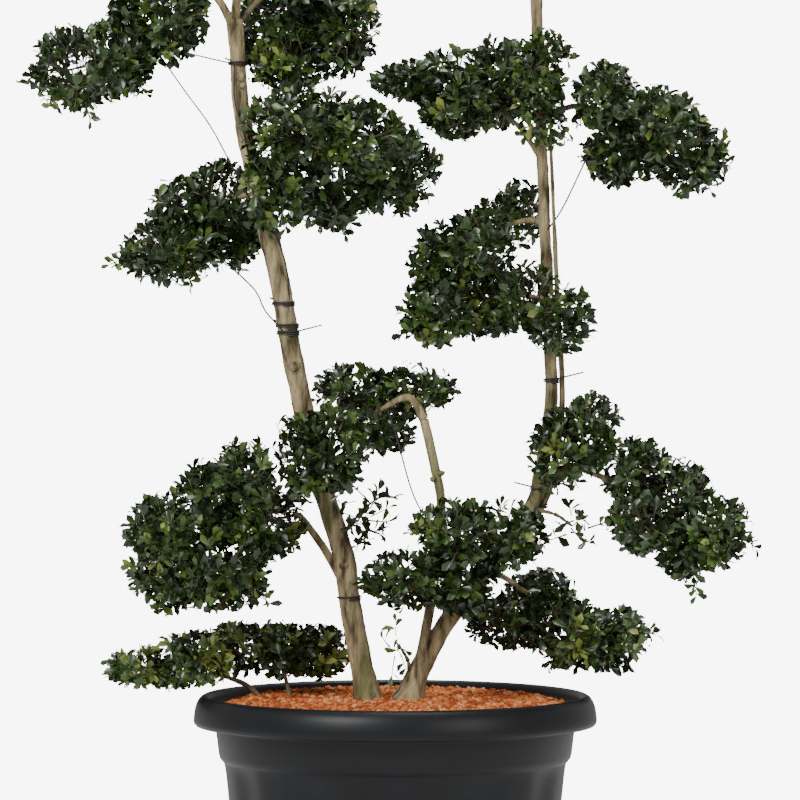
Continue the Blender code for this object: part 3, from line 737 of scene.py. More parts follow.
@dataclass(frozen=True)
class Limb:
    """A stem or bough: the places it runs through, with its thickness at each."""

    name: str
    stations: tuple[Station, ...]
    grounded: bool = False
    young: bool = False
    bevel: int = 6
    relief: float = 0.0006
    step: float = 0.006
    flare: float = 0.30
    flare_height: float = 0.016
    ridge_scale: Point = (90.0, 90.0, 22.0)
    grain_scale: Point = (320.0, 320.0, 110.0)

    def path(self) -> np.ndarray:
        """The limb's smooth path, which widens and runs on below the ground where it is grounded.

        Returns:
            Rows of x, y, z and diameter.
        """
        rows = smooth_path(np.array(self.stations), self.step)
        if self.grounded:
            rows = np.vstack([2 * rows[0] - rows[2], rows])
            height = np.maximum(rows[:, 2] - SOIL_TOP, 0)
            rows[:, 3] *= 1 + self.flare * np.exp(-height / self.flare_height)
        return rows

    def mesh(self) -> Mesh:
        """The limb with the long ridges and the fine grain of its bark.

        Returns:
            The limb's mesh.
        """
        mesh = tube_mesh(self.name, self.path(), self.bevel)
        for vertex in mesh.vertices:
            ridges, grain = (
                noise.noise(Vector([place * times for place, times in zip(vertex.co, scale)]))
                for scale in (self.ridge_scale, self.grain_scale)
            )
            vertex.co += vertex.normal * self.relief * (ridges * 1.1 + grain * 0.6)
        return mesh


LIMBS = (
    Limb("left_trunk", (
        (-0.038, 0.000, 0.402, 0.0340), (-0.063, 0.004, 0.539, 0.0295), (-0.072, 0.010, 0.604, 0.0300),
        (-0.108, 0.012, 0.721, 0.0280), (-0.140, 0.002, 0.867, 0.0280), (-0.161, -0.008, 0.988, 0.0270),
        (-0.191, 0.000, 1.112, 0.0250), (-0.212, 0.008, 1.217, 0.0230), (-0.222, 0.010, 1.345, 0.0220),
    ), grounded=True, bevel=14, relief=0.0016),
    Limb("right_trunk", (
        (0.018, 0.000, 0.402, 0.0360), (0.036, 0.002, 0.448, 0.0300), (0.077, 0.006, 0.518, 0.0242),
        (0.181, 0.010, 0.658, 0.0208), (0.202, 0.010, 0.720, 0.0194), (0.216, 0.004, 0.819, 0.0175),
        (0.211, 0.000, 0.957, 0.0168), (0.203, 0.008, 1.165, 0.0160), (0.196, 0.010, 1.330, 0.0156),
        (0.195, 0.010, 1.395, 0.0170),
    ), grounded=True, bevel=14, relief=0.0013),
    Limb("middle_stem", (
        (0.030, 0.000, 0.438, 0.0150), (0.041, -0.008, 0.492, 0.0145), (0.054, -0.006, 0.570, 0.0138),
        (0.064, 0.000, 0.668, 0.0129), (0.054, 0.002, 0.729, 0.0131), (0.040, 0.000, 0.792, 0.0131),
    )),
    Limb("side_stem", (
        (0.160, 0.006, 0.618, 0.0100), (0.199, 0.014, 0.662, 0.0100), (0.219, 0.018, 0.718, 0.0095),
        (0.2315, 0.010, 0.819, 0.0085), (0.2245, -0.006, 0.957, 0.0070), (0.2155, -0.002, 1.165, 0.0050),
        (0.216, -0.004, 1.205, 0.0040),
    )),
    Limb("arch_bough", (
        (0.040, 0.000, 0.792, 0.0131), (0.018, -0.004, 0.823, 0.0099), (-0.024, -0.002, 0.804, 0.0066),
    )),
    Limb("bough_low_left", (
        (-0.066, 0.006, 0.556, 0.0131), (-0.102, 0.000, 0.618, 0.0110), (-0.134, -0.016, 0.662, 0.0090),
    )),
    Limb("bough_mid_left", (
        (-0.186, 0.000, 1.086, 0.0097), (-0.203, 0.008, 1.101, 0.0087), (-0.224, 0.022, 1.100, 0.0076),
    )),
    Limb("bough_mid_right", (
        (-0.205, 0.004, 1.183, 0.0097), (-0.184, -0.010, 1.181, 0.0090), (-0.163, -0.028, 1.170, 0.0083),
    )),
    Limb("bough_top_left", (
        (-0.221, 0.010, 1.330, 0.0125), (-0.247, 0.012, 1.376, 0.0104), (-0.278, 0.012, 1.392, 0.0083),
    )),
    Limb("bough_top_right", (
        (-0.222, 0.012, 1.334, 0.0097), (-0.184, 0.030, 1.377, 0.0083), (-0.150, 0.046, 1.384, 0.0069),
    ), young=True),
    Limb("left_leader", (
        (-0.222, 0.010, 1.335, 0.0138), (-0.219, 0.004, 1.380, 0.0118), (-0.219, 0.000, 1.420, 0.0097),
    )),
    Limb("low_shoot_left", (
        (-0.180, 0.060, 0.390, 0.0083), (-0.206, 0.061, 0.417, 0.0072), (-0.236, 0.060, 0.430, 0.0062),
    ), young=True, bevel=4),
    Limb("low_shoot_right", (
        (-0.146, 0.052, 0.388, 0.0069), (-0.151, 0.052, 0.420, 0.0062), (-0.156, 0.058, 0.438, 0.0055),
    ), young=True, bevel=4),
    Limb("bough_crown_left", (
        (0.203, 0.008, 1.150, 0.0083), (0.176, 0.006, 1.192, 0.0069), (0.150, 0.002, 1.216, 0.0055),
    ), young=True),
    Limb("bough_crown_left_upper", (
        (0.202, 0.010, 1.176, 0.0076), (0.180, 0.020, 1.210, 0.0065), (0.166, 0.028, 1.222, 0.0055),
    ), young=True),
    Limb("bough_crown_right", (
        (0.202, 0.008, 1.207, 0.0097), (0.223, 0.004, 1.219, 0.0087), (0.246, -0.006, 1.226, 0.0076),
    )),
    Limb("bough_waist_left", (
        (0.208, 0.004, 1.062, 0.0097), (0.186, 0.018, 1.068, 0.0083), (0.152, 0.030, 1.060, 0.0069),
    )),
    Limb("bough_low_right", (
        (0.202, 0.006, 0.716, 0.0125), (0.252, -0.026, 0.726, 0.0104), (0.302, -0.040, 0.706, 0.0083),
    )),
    Limb("bough_foot_right", (
        (0.123, 0.008, 0.580, 0.0097), (0.150, 0.028, 0.572, 0.0080), (0.186, 0.050, 0.546, 0.0062),
    )),
    Limb("right_leader", (
        (0.195, 0.010, 1.386, 0.0131), (0.199, 0.008, 1.420, 0.0120), (0.205, 0.002, 1.444, 0.0110),
    )),
)

# The place of each healed knot and half its width
KNOTS = (
    (-0.2134, -0.006, 1.2658, 0.006), (-0.2107, -0.004, 1.2547, 0.005), (-0.2080, -0.006, 1.2130, 0.006),
    (-0.1400, -0.010, 0.8670, 0.0085), (-0.1360, 0.000, 0.8560, 0.0070), (0.0520, -0.006, 0.7094, 0.0045),
    (0.0640, -0.005, 0.7177, 0.0045), (-0.0700, 0.000, 0.5900, 0.0080), (0.1200, -0.008, 0.5800, 0.0070),
    (0.2120, -0.005, 0.9000, 0.0055), (-0.1170, -0.010, 0.7700, 0.0070),
)


@dataclass(frozen=True)
class Knots:
    """The healed knots that stand a little out of the trunks."""

    places: tuple[Station, ...] = KNOTS
    seed: int = 12
    least: float = 0.8
    most: float = 1.2

    def build(self, bark: Material) -> None:
        """Build the knots.

        Args:
            bark: The bark of the trunks.
        """
        rng = np.random.default_rng(self.seed)
        lumps = pebble_template(5, 2)
        rows = np.array(self.places)
        axes = any_axes(rng, len(rows))
        lumps.add(rows[:, :3], axes, rows[:, 3:4] * 2 * rng.uniform(self.least, self.most, (len(rows), 3)))
        piece("BarkKnots", lumps.mesh("BarkKnots"), [bark])


class Limbs:
    """All stems and boughs, with what the foliage needs to know to keep off them."""

    def __init__(self) -> None:
        """Work out the straight stretches of every limb's path."""
        paths = [smooth_path(np.array(limb.stations), 0.02) for limb in LIMBS]
        self.starts = np.concatenate([path[:-1] for path in paths])
        self.ends = np.concatenate([path[1:] for path in paths])

    def build(self, pale: Material, young: Material) -> None:
        """Build every limb in place of its plain solid.

        Args:
            pale: The bark of the older limbs.
            young: The bark of the young boughs.
        """
        for limb in LIMBS:
            bark = young if limb.young else pale
            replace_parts(piece(f"Bark_{limb.name}", limb.mesh(), [bark]), limb.name)

    def clear(self, points: np.ndarray, spare: float) -> np.ndarray:
        """Which points are further than a spare distance from every limb's bark.

        Args:
            points: The points, n by 3.
            spare: The distance.

        Returns:
            True or False for each point.
        """
        good = np.ones(len(points), bool)
        if not len(points):
            return good
        low, high = points.min(axis=0) - 0.04, points.max(axis=0) + 0.04
        for a, b in zip(self.starts, self.ends):
            if (np.maximum(a[:3], b[:3]) < low).any() or (np.minimum(a[:3], b[:3]) > high).any():
                continue
            along = b[:3] - a[:3]
            share = np.clip((points - a[:3]) @ along / float(along @ along), 0, 1)
            radius = (a[3] + (b[3] - a[3]) * share) / 2
            good &= np.linalg.norm(points - a[:3] - along * share[:, None], axis=1) > radius + spare
        return good


@dataclass(frozen=True)
class Tie:
    """A few turns of wire round a limb, with the loose end of its twist."""

    limb: str
    height: float
    turns: float = 2.6
    end: float = 0.018
    wire: float = 0.0026
    end_wire: float = 0.0022
    rise: float = 0.003
    gap: float = 0.0016

    def path(self) -> np.ndarray:
        """The wire's way round the limb and out.

        Returns:
            Rows of x, y, z and diameter.
        """
        rows = next(limb for limb in LIMBS if limb.name == self.limb).path()
        place = rows[np.argmin(np.abs(rows[:, 2] - self.height))]
        turn = np.linspace(-math.pi / 2, -math.pi / 2 + self.turns * FULL_TURN, int(self.turns * 20))
        radius = place[3] / 2 + self.gap
        height = self.height + np.linspace(-self.rise, self.rise, len(turn))
        thick = np.full(len(turn), self.wire)
        across, back = place[0] + radius * np.cos(turn), place[1] + radius * np.sin(turn)
        ring = np.stack([across, back, height, thick], axis=1)
        out = np.array([math.cos(turn[-1]), math.sin(turn[-1]), 0.25])
        return np.vstack([ring, [*(ring[-1, :3] + out * self.end), self.end_wire]])


@dataclass(frozen=True)
class Guy:
    """A length of wire strung between a limb and a mass of foliage."""

    places: tuple[Point, ...]
    wire: float = 0.0024

    def path(self) -> np.ndarray:
        """The wire's way, as rows of x, y, z and diameter."""
        return smooth_path(np.array([(*place, self.wire) for place in self.places]), 0.012)


TIES = (
    Tie("left_trunk", 1.285), Tie("left_trunk", 0.953), Tie("left_trunk", 0.922),
    Tie("left_trunk", 0.912, 2.2, 0.034), Tie("left_trunk", 0.545, 1.6, 0.006),
    Tie("right_trunk", 0.901), Tie("right_trunk", 0.890), Tie("right_trunk", 0.846, 2.2, 0.036),
    Tie("right_trunk", 0.696, 1.8, 0.024), Tie("side_stem", 0.672, 1.6, 0.008),
)
GUYS = (
    Guy(((-0.328, 0.000, 1.300), (-0.291, -0.004, 1.247), (-0.256, -0.008, 1.199), (-0.226, -0.012, 1.144),
         (-0.189, -0.0135, 1.075))),
    Guy(((-0.290, 0.010, 1.300), (-0.250, -0.004, 1.290), (-0.221, -0.001, 1.284))),
    Guy(((-0.222, -0.006, 1.284), (-0.222, -0.008, 1.235), (-0.211, -0.010, 1.195), (-0.199, -0.012, 1.144),
         (-0.176, -0.016, 1.075), (-0.152, -0.023, 1.012), (-0.146, -0.015, 0.953))),
    Guy(((-0.236, 0.040, 1.010), (-0.194, 0.000, 0.971), (-0.180, -0.008, 0.943), (-0.152, -0.014, 0.912))),
    Guy(((-0.011, -0.002, 0.808), (0.004, -0.006, 0.760), (0.027, -0.024, 0.684), (0.060, -0.080, 0.634))),
    Guy(((0.280, -0.040, 1.190), (0.234, -0.008, 1.090), (0.211, -0.004, 1.055))),
)


@dataclass(frozen=True)
class Wires:
    """The wire that trains the tree: its ties round the limbs and the lengths strung between them."""

    ties: tuple[Tie, ...] = TIES
    guys: tuple[Guy, ...] = GUYS
    bevel: int = 1

    def build(self, material: Material) -> None:
        """Build the ties and the strung wires.

        Args:
            material: The wire's material.
        """
        for name, wires in (("TrainingTies", self.ties), ("TrainingGuys", self.guys)):
            meshes = [tube_mesh(name, wire.path(), self.bevel) for wire in wires]
            piece(name, joined(meshes, name), [material])


@dataclass(frozen=True)
class Shell:
    """A layer of twig tips: how far out it lies, how wide apart its tips are and the leaves on each."""

    share: float
    wider: float
    leaves: int
    outer: bool = False


@dataclass(frozen=True)
class Spray:
    """The leaves on one twig: how many, how long, from where along it and how far out of the cloud."""

    leaves: int
    length: float = 0.0205
    from_share: float = 0.50
    limit: float = 1.22


SPRIG_SPRAY = Spray(3, 0.0195, 0.2, 2.4)
CLOSE_SHELLS = (Shell(1.0, 1.0, 8, outer=True), Shell(0.76, 1.15, 7), Shell(0.48, 1.6, 6))
LOOSE_SHELLS = (Shell(0.95, 1.7, 6, outer=True), Shell(0.55, 2.4, 4))


@dataclass(frozen=True)
class Cloud:
    """One mass of foliage: where it leaves its limb, and the centre and half size of each of its lobes."""

    node: str
    root: Point
    lobes: tuple[tuple[Point, Point], ...]
    dense: bool = True
    fresh: float = 0.12
    spacing: float = 0.0180

    def levels(self, points: np.ndarray) -> np.ndarray:
        """How far out points are in each lobe: 0 at its middle and 1 on its surface.

        Args:
            points: The points, n by 3.

        Returns:
            The levels, n by the number of lobes.
        """
        centres, halves = np.array(self.lobes).transpose(1, 0, 2)
        return np.linalg.norm((points[:, None] - centres[None]) / halves[None], axis=2)

    def tint_steps(self) -> list[float]:
        """The shade levels at which one leaf tint gives way to the next."""
        return [0.42 - self.fresh * 0.4, 0.90 - self.fresh * 0.55, 1.12 - self.fresh * 0.55]


CLOUDS = (
    Cloud("cloud_top_left", (-0.278, 0.012, 1.392), (
        ((-0.318, 0.040, 1.388), (0.052, 0.069, 0.044)),
        ((-0.305, -0.004, 1.347), (0.046, 0.082, 0.060)),
        ((-0.355, 0.032, 1.334), (0.044, 0.076, 0.052)),
        ((-0.391, 0.000, 1.289), (0.054, 0.081, 0.052)),
        ((-0.450, 0.040, 1.277), (0.054, 0.065, 0.056)),
    )),
    Cloud("cloud_top_right", (-0.150, 0.046, 1.384), (
        ((-0.112, 0.015, 1.390), (0.056, 0.067, 0.036)),
        ((-0.186, 0.080, 1.335), (0.040, 0.063, 0.054)),
        ((-0.148, 0.042, 1.290), (0.056, 0.067, 0.042)),
        ((-0.122, 0.089, 1.344), (0.044, 0.073, 0.046)),
        ((-0.066, 0.038, 1.334), (0.044, 0.076, 0.062)),
    )),
    Cloud("cloud_top", (-0.219, 0.000, 1.420), (
        ((-0.264, 0.036, 1.468), (0.062, 0.086, 0.046)),
        ((-0.174, -0.040, 1.466), (0.062, 0.086, 0.044)),
        ((-0.220, 0.000, 1.500), (0.070, 0.093, 0.044)),
    )),
    Cloud("cloud_mid_right", (-0.163, -0.028, 1.170), (
        ((-0.156, -0.046, 1.118), (0.052, 0.076, 0.066)),
        ((-0.128, -0.080, 1.196), (0.078, 0.089, 0.056)),
        ((-0.078, -0.005, 1.118), (0.056, 0.095, 0.064)),
        ((-0.052, -0.088, 1.180), (0.062, 0.086, 0.052)),
        ((-0.004, -0.021, 1.142), (0.060, 0.086, 0.062)),
    )),
    Cloud("cloud_mid_left", (-0.224, 0.022, 1.100), (
        ((-0.240, 0.030, 1.100), (0.050, 0.060, 0.048)),
        ((-0.240, 0.084, 1.040), (0.050, 0.076, 0.046)),
        ((-0.294, 0.074, 1.078), (0.050, 0.067, 0.046)),
        ((-0.315, 0.017, 1.024), (0.064, 0.070, 0.044)),
    )),
    Cloud("cloud_low_left", (-0.134, -0.016, 0.662), (
        ((-0.180, -0.027, 0.654), (0.054, 0.081, 0.052)),
        ((-0.198, -0.068, 0.716), (0.046, 0.076, 0.054)),
        ((-0.256, -0.004, 0.682), (0.054, 0.092, 0.056)),
        ((-0.232, -0.064, 0.592), (0.058, 0.086, 0.060)),
        ((-0.310, -0.055, 0.640), (0.060, 0.092, 0.050)),
        ((-0.310, -0.002, 0.574), (0.058, 0.081, 0.046)),
    )),
    Cloud("cloud_trunk", (-0.118, 0.010, 0.760), (
        ((-0.138, -0.062, 0.736), (0.044, 0.048, 0.060)),
        ((-0.084, -0.062, 0.754), (0.044, 0.048, 0.062)),
    )),
    Cloud("cloud_arch", (-0.024, -0.002, 0.804), (
        ((-0.018, 0.050, 0.786), (0.048, 0.056, 0.042)),
        ((-0.060, 0.072, 0.825), (0.058, 0.059, 0.040)),
        ((0.029, 0.050, 0.832), (0.054, 0.052, 0.034)),
    )),
    Cloud("cloud_waist_spray", (-0.076, 0.011, 0.628), (
        ((-0.048, 0.022, 0.664), (0.046, 0.036, 0.050)),
    ), dense=False, fresh=0.3),
    Cloud("cloud_foot_left", (-0.236, 0.060, 0.430), (
        ((-0.270, 0.038, 0.458), (0.044, 0.071, 0.036)),
        ((-0.312, 0.090, 0.449), (0.046, 0.071, 0.036)),
        ((-0.358, 0.050, 0.444), (0.046, 0.052, 0.028)),
    ), fresh=0.6),
    Cloud("cloud_foot_middle", (-0.156, 0.058, 0.438), (
        ((-0.164, 0.080, 0.466), (0.046, 0.076, 0.038)),
        ((-0.222, 0.110, 0.468), (0.042, 0.071, 0.038)),
        ((-0.106, 0.104, 0.462), (0.046, 0.065, 0.036)),
    ), fresh=0.6),
    Cloud("cloud_crown_left", (0.150, 0.002, 1.216), (
        ((0.142, 0.056, 1.260), (0.042, 0.076, 0.060)),
        ((0.088, 0.000, 1.220), (0.054, 0.076, 0.040)),
        ((0.084, 0.054, 1.266), (0.052, 0.076, 0.042)),
        ((0.020, -0.002, 1.262), (0.050, 0.056, 0.028)),
    )),
    Cloud("cloud_crown_front", (0.198, 0.010, 1.255), (
        ((0.202, -0.050, 1.278), (0.046, 0.046, 0.050)),
        ((0.208, -0.047, 1.212), (0.044, 0.042, 0.046)),
    )),
    Cloud("cloud_crown_right", (0.246, -0.006, 1.226), (
        ((0.284, -0.046, 1.232), (0.050, 0.076, 0.052)),
        ((0.314, 0.008, 1.164), (0.054, 0.081, 0.046)),
        ((0.360, -0.044, 1.206), (0.056, 0.081, 0.044)),
        ((0.406, 0.000, 1.158), (0.052, 0.071, 0.054)),
    )),
    Cloud("cloud_waist_left", (0.152, 0.030, 1.060), (
        ((0.116, 0.004, 1.040), (0.048, 0.076, 0.054)),
        ((0.069, 0.074, 1.010), (0.048, 0.076, 0.056)),
        ((0.130, 0.066, 0.958), (0.050, 0.081, 0.056)),
        ((0.062, -0.002, 0.940), (0.054, 0.076, 0.046)),
    )),
    Cloud("cloud_waist_front", (0.212, 0.000, 0.950), (
        ((0.186, -0.060, 0.964), (0.044, 0.046, 0.046)),
        ((0.228, -0.058, 0.936), (0.046, 0.046, 0.048)),
    )),
    Cloud("cloud_waist_back", (0.206, 0.006, 1.085), (
        ((0.174, 0.060, 1.076), (0.038, 0.046, 0.046)),
    )),
    Cloud("cloud_low_right_inner", (0.212, 0.006, 0.775), (
        ((0.226, -0.056, 0.750), (0.042, 0.046, 0.054)),
        ((0.272, -0.046, 0.772), (0.042, 0.060, 0.055)),
    )),
    Cloud("cloud_low_right", (0.302, -0.040, 0.706), (
        ((0.334, -0.015, 0.720), (0.048, 0.076, 0.046)),
        ((0.338, -0.082, 0.656), (0.044, 0.065, 0.044)),
        ((0.392, -0.011, 0.684), (0.048, 0.076, 0.050)),
        ((0.402, -0.028, 0.618), (0.042, 0.065, 0.044)),
        ((0.442, -0.070, 0.642), (0.044, 0.065, 0.050)),
    )),
    Cloud("cloud_centre", (0.146, 0.010, 0.611), (
        ((0.150, -0.068, 0.636), (0.056, 0.056, 0.046)),
        ((0.082, -0.098, 0.638), (0.060, 0.065, 0.046)),
        ((0.092, -0.066, 0.574), (0.052, 0.059, 0.048)),
        ((0.020, -0.092, 0.576), (0.062, 0.059, 0.040)),
    )),
    Cloud("cloud_side_spray", (0.186, 0.010, 0.668), (
        ((0.244, -0.020, 0.646), (0.048, 0.036, 0.033)),
    ), dense=False, fresh=0.3),
    Cloud("cloud_foot_right", (0.186, 0.050, 0.546), (
        ((0.204, 0.094, 0.534), (0.050, 0.071, 0.042)),
        ((0.160, 0.062, 0.506), (0.056, 0.076, 0.036)),
        ((0.240, 0.030, 0.492), (0.050, 0.076, 0.050)),
        ((0.304, 0.088, 0.482), (0.056, 0.078, 0.046)),
    )),
    Cloud("sucker_shoot", (0.020, -0.002, 0.430), (
        ((0.001, -0.022, 0.485), (0.020, 0.018, 0.055)),
    ), dense=False, fresh=0.7),
    Cloud("cloud_peak", (0.205, 0.002, 1.444), (
        ((0.160, 0.032, 1.488), (0.060, 0.082, 0.046)),
        ((0.246, -0.034, 1.494), (0.062, 0.086, 0.048)),
        ((0.206, 0.004, 1.534), (0.066, 0.089, 0.050)),
    )),
)

# The long shoots that reach out of a cloud, each by its tip
SPRIGS = (
    ("cloud_top_left", (-0.5140, 0.040, 1.2590)), ("cloud_top_left", (-0.4220, 0.010, 1.2060)),
    ("cloud_top_left", (-0.3440, -0.010, 1.2420)), ("cloud_mid_right", (-0.0695, -0.020, 1.0480)),
    ("cloud_mid_right", (0.0500, -0.030, 1.1550)), ("cloud_mid_left", (-0.3960, 0.020, 1.0060)),
    ("cloud_mid_left", (-0.2840, 0.030, 0.9800)), ("cloud_low_left", (-0.1740, -0.080, 0.5420)),
    ("cloud_low_left", (-0.3680, -0.040, 0.5900)), ("cloud_waist_spray", (-0.0040, 0.024, 0.6830)),
    ("cloud_crown_right", (0.4360, -0.010, 1.1080)), ("cloud_crown_right", (0.4540, 0.010, 1.1500)),
    ("cloud_crown_left", (-0.0260, 0.000, 1.2620)), ("cloud_low_right", (0.4160, -0.040, 0.5500)),
    ("cloud_low_right", (0.4960, -0.070, 0.6180)), ("cloud_foot_right", (0.3660, 0.090, 0.4860)),
    ("cloud_foot_left", (-0.3900, 0.050, 0.4530)), ("cloud_centre", (-0.0500, -0.090, 0.5660)),
    ("cloud_waist_left", (0.0100, 0.000, 0.9100)),
)


def above_rim(points: np.ndarray, spare: float = 0.003) -> np.ndarray:
    """Which points are clear of the pot and its fill.

    Args:
        points: The points, n by 3.
        spare: The distance they keep.

    Returns:
        True or False for each point.
    """
    inside = np.hypot(points[:, 0], points[:, 1]) < RIM_RADIUS + spare
    return ~inside | (points[:, 2] > POT_HEIGHT + spare)


@dataclass
class Foliage:
    """Grows one cloud out of its limb: stems to its lobes, twigs to their surface and sprays of leaves."""

    cloud: Cloud
    limbs: Limbs
    own_margin: float = 0.12
    hidden: float = 0.86
    reach: float = 1.22
    clearance: float = 0.0010
    thinnest_twig: float = 0.0019
    thickest_twig: float = 0.0030
    gap_scale: float = 19.0
    gap_level: float = -0.30
    lump_height: float = 0.34
    farthest: float = 1.16
    stray_share: float = 0.30
    twig_spread: float = 0.07
    twig_lean: float = 0.28
    twig_droop: float = 0.35
    tint_patches: float = 14.0
    leaf_lift: float = 0.22
    leaf_facing: float = 0.55
    leaf_stray: float = 0.26
    leaf_roll: float = 0.55
    blossom_share: float = 0.10
    blossom_spread: float = 0.0035
    smallest_blossom: float = 0.0026
    largest_blossom: float = 0.0042

    def __post_init__(self) -> None:
        """Take the templates and the chances that this cloud grows by."""
        self.rng = np.random.default_rng([ord(letter) for letter in self.cloud.node])
        self.leaves = leaf_template()
        self.twigs = twig_template()
        self.buds = pebble_template(3)

    def free(self, points: np.ndarray, limit: float) -> np.ndarray:
        """Which points lie in this cloud's own space, clear of the pot and of every limb.

        Args:
            points: The points, n by 3.
            limit: How far out of the cloud they may be.

        Returns:
            True or False for each point.
        """
        mine = self.cloud.levels(points).min(axis=1)
        good = (mine <= limit) & above_rim(points)
        for other in CLOUDS:
            if other is not self.cloud:
                good &= other.levels(points).min(axis=1) > mine + self.own_margin
        good[good] = self.limbs.clear(points[good], self.clearance)
        return good

    def add_twigs(self, start: np.ndarray, end: np.ndarray, thick: np.ndarray) -> None:
        """Lay tapering twigs between pairs of points.

        Args:
            start: The twigs' feet, n by 3.
            end: The twigs' tips, n by 3.
            thick: The twigs' thickness.
        """
        along = end - start
        axes = axes_along(along, self.rng.normal(size=along.shape))
        self.twigs.add(start, axes, np.stack([np.linalg.norm(along, axis=1), thick, thick], axis=1))

    def stems(self) -> None:
        """Bend stems from the limb to the lobes, each from the nearest place already reached."""
        reached = [np.array(self.cloud.root)]
        for index, lobe in enumerate(self.cloud.lobes):
            centre = np.array(lobe[0])
            start = min(reached, key=lambda place: float(np.linalg.norm(place - centre)))
            bend = (start + centre) / 2 + self.rng.uniform(-0.010, 0.010, 3)
            rows = smooth_path(np.array([(*start, 0.0085), (*bend, 0.0070), (*centre, 0.0052)]), 0.012)
            thick = rows[:-1, 3] * (0.82 if index else 1.0)
            self.add_twigs(rows[:-1, :3], rows[1:, :3] + np.diff(rows[:, :3], axis=0) * 0.12, thick)
            reached.append(centre)

    def sprigs(self) -> None:
        """Grow the long shoots that reach out of the cloud."""
        for tip in (np.array(place) for node, place in SPRIGS if node == self.cloud.node):
            centres = np.array(self.cloud.lobes)[:, 0]
            near = centres[np.argmin(np.linalg.norm(centres - tip, axis=1))]
            bend = near * 0.4 + tip * 0.6 + np.array([0, 0, 0.008])
            rows = smooth_path(np.array([(*near, 0.0038), (*bend, 0.0028), (*tip, 0.0020)]), 0.010)
            half = len(rows) // 2
            self.add_twigs(rows[:-1, :3], rows[1:, :3], rows[:-1, 3])
            self.sprays(rows[half - 1:-1, :3], rows[half:, :3], SPRIG_SPRAY)

    def tips(self, lobe: tuple[Point, Point], shell: Shell) -> tuple[np.ndarray, np.ndarray]:
        """Where the twigs of one shell of a lobe begin and end.

        Args:
            lobe: The lobe.
            shell: The shell.

        Returns:
            The starts and the ends, each n by 3.
        """
        rng, share = self.rng, shell.share
        centre, half = np.array(lobe)
        a, b, c = half
        mean = (((a * b) ** 1.6 + (a * c) ** 1.6 + (b * c) ** 1.6) / 3) ** (1 / 1.6)
        count = max(6, round(4 * math.pi * mean * share**2 / (self.cloud.spacing * shell.wider) ** 2))
        index = np.arange(count)
        up = 1 - 2 * (index + 0.5) / count
        turn = index * GOLDEN_TURN + rng.uniform(0, 6.28)
        across = np.sqrt(1 - up * up)
        even = np.stack([np.cos(turn) * across, np.sin(turn) * across, up], axis=1)
        way = unit(even + rng.normal(scale=self.twig_spread, size=(count, 3)))
        lumps = np.array([noise.noise(Vector(w * 3.0 + centre * 31)) for w in way])
        stray = (rng.uniform(size=count) < self.stray_share) * shell.outer * rng.uniform(0.08, 0.30, count)
        out = share * (0.86 + self.lump_height * lumps + rng.uniform(-0.10, 0.06, count)) + stray
        out = np.minimum(out, self.farthest)
        end = centre + way * half * out[:, None]
        lean = unit(way + rng.normal(scale=self.twig_lean, size=(count, 3)) - np.array([0, 0, self.twig_droop]))
        start = centre + lean * half * (out * rng.uniform(0.30, 0.60, count))[:, None]
        return start, end

    def sprays(self, start: np.ndarray, end: np.ndarray, spray: Spray) -> None:
        """Set a spray of leaves round the outer part of every twig.

        Args:
            start: The twigs' starts.
            end: The twigs' ends.
            spray: What each spray is like.
        """
        rng, twigs, count, first = self.rng, len(start), spray.leaves, spray.from_share
        if not twigs:
            return
        last = max(count - 1, 1)
        lift, facing = np.array([0, 0, self.leaf_lift]), np.array([0, 0, self.leaf_facing])
        along = unit(end - start)
        side = unit(np.cross(along, rng.normal(size=along.shape)))
        other = np.cross(along, side)
        fresh = rng.uniform(size=twigs)
        shade = fresh - 0.35 * np.array([noise.noise(Vector(place * self.tint_patches)) for place in end])
        for number in range(count):
            turn = number * GOLDEN_TURN + rng.uniform(-0.5, 0.5, twigs)
            aside = side * np.cos(turn)[:, None] + other * np.sin(turn)[:, None]
            rise = 0.25 + 0.75 * (number / last)
            way = along * rise + aside * (1.15 - 0.55 * rise) + lift
            way = unit(way + rng.normal(scale=self.leaf_stray, size=along.shape))
            root = start + (end - start) * (first + (1 - first) * number / last)
            face = along * 0.8 + facing + rng.normal(scale=self.leaf_roll, size=along.shape)
            axes = axes_along(way, face)
            size = spray.length * rng.uniform(0.72, 1.15, twigs) * (1.08 - 0.25 * number / count)
            sides = root + way * size[:, None] * 0.6
            wide = axes[:, 1] * (size * 0.26)[:, None]
            good = self.free(root + way * size[:, None], spray.limit)
            good &= self.free(sides + wide, spray.limit) & self.free(sides - wide, spray.limit)
            tint = np.digitize(shade + rng.uniform(-0.12, 0.12, twigs), self.cloud.tint_steps())
            if number == count - 1:
                tint = np.minimum(tint + (rng.uniform(size=twigs) < self.cloud.fresh), len(LEAF_TINTS) - 1)
            broad = size * rng.uniform(0.44, 0.58, twigs)
            self.leaves.add(root[good], axes[good], np.stack([size, broad, size], axis=1)[good], tint[good])

    def blossom(self, end: np.ndarray) -> None:
        """Set tiny clusters of blossom beside a few of the twigs' tips.

        Args:
            end: The tips.
        """
        chosen = end[self.rng.uniform(size=len(end)) < self.blossom_share]
        for _ in range(3):
            place = chosen + self.rng.normal(scale=self.blossom_spread, size=chosen.shape)
            place = place[self.free(place, self.reach)]
            size = self.rng.uniform(self.smallest_blossom, self.largest_blossom, (len(place), 1))
            self.buds.add(place, any_axes(self.rng, len(place)), np.repeat(size, 3, axis=1))

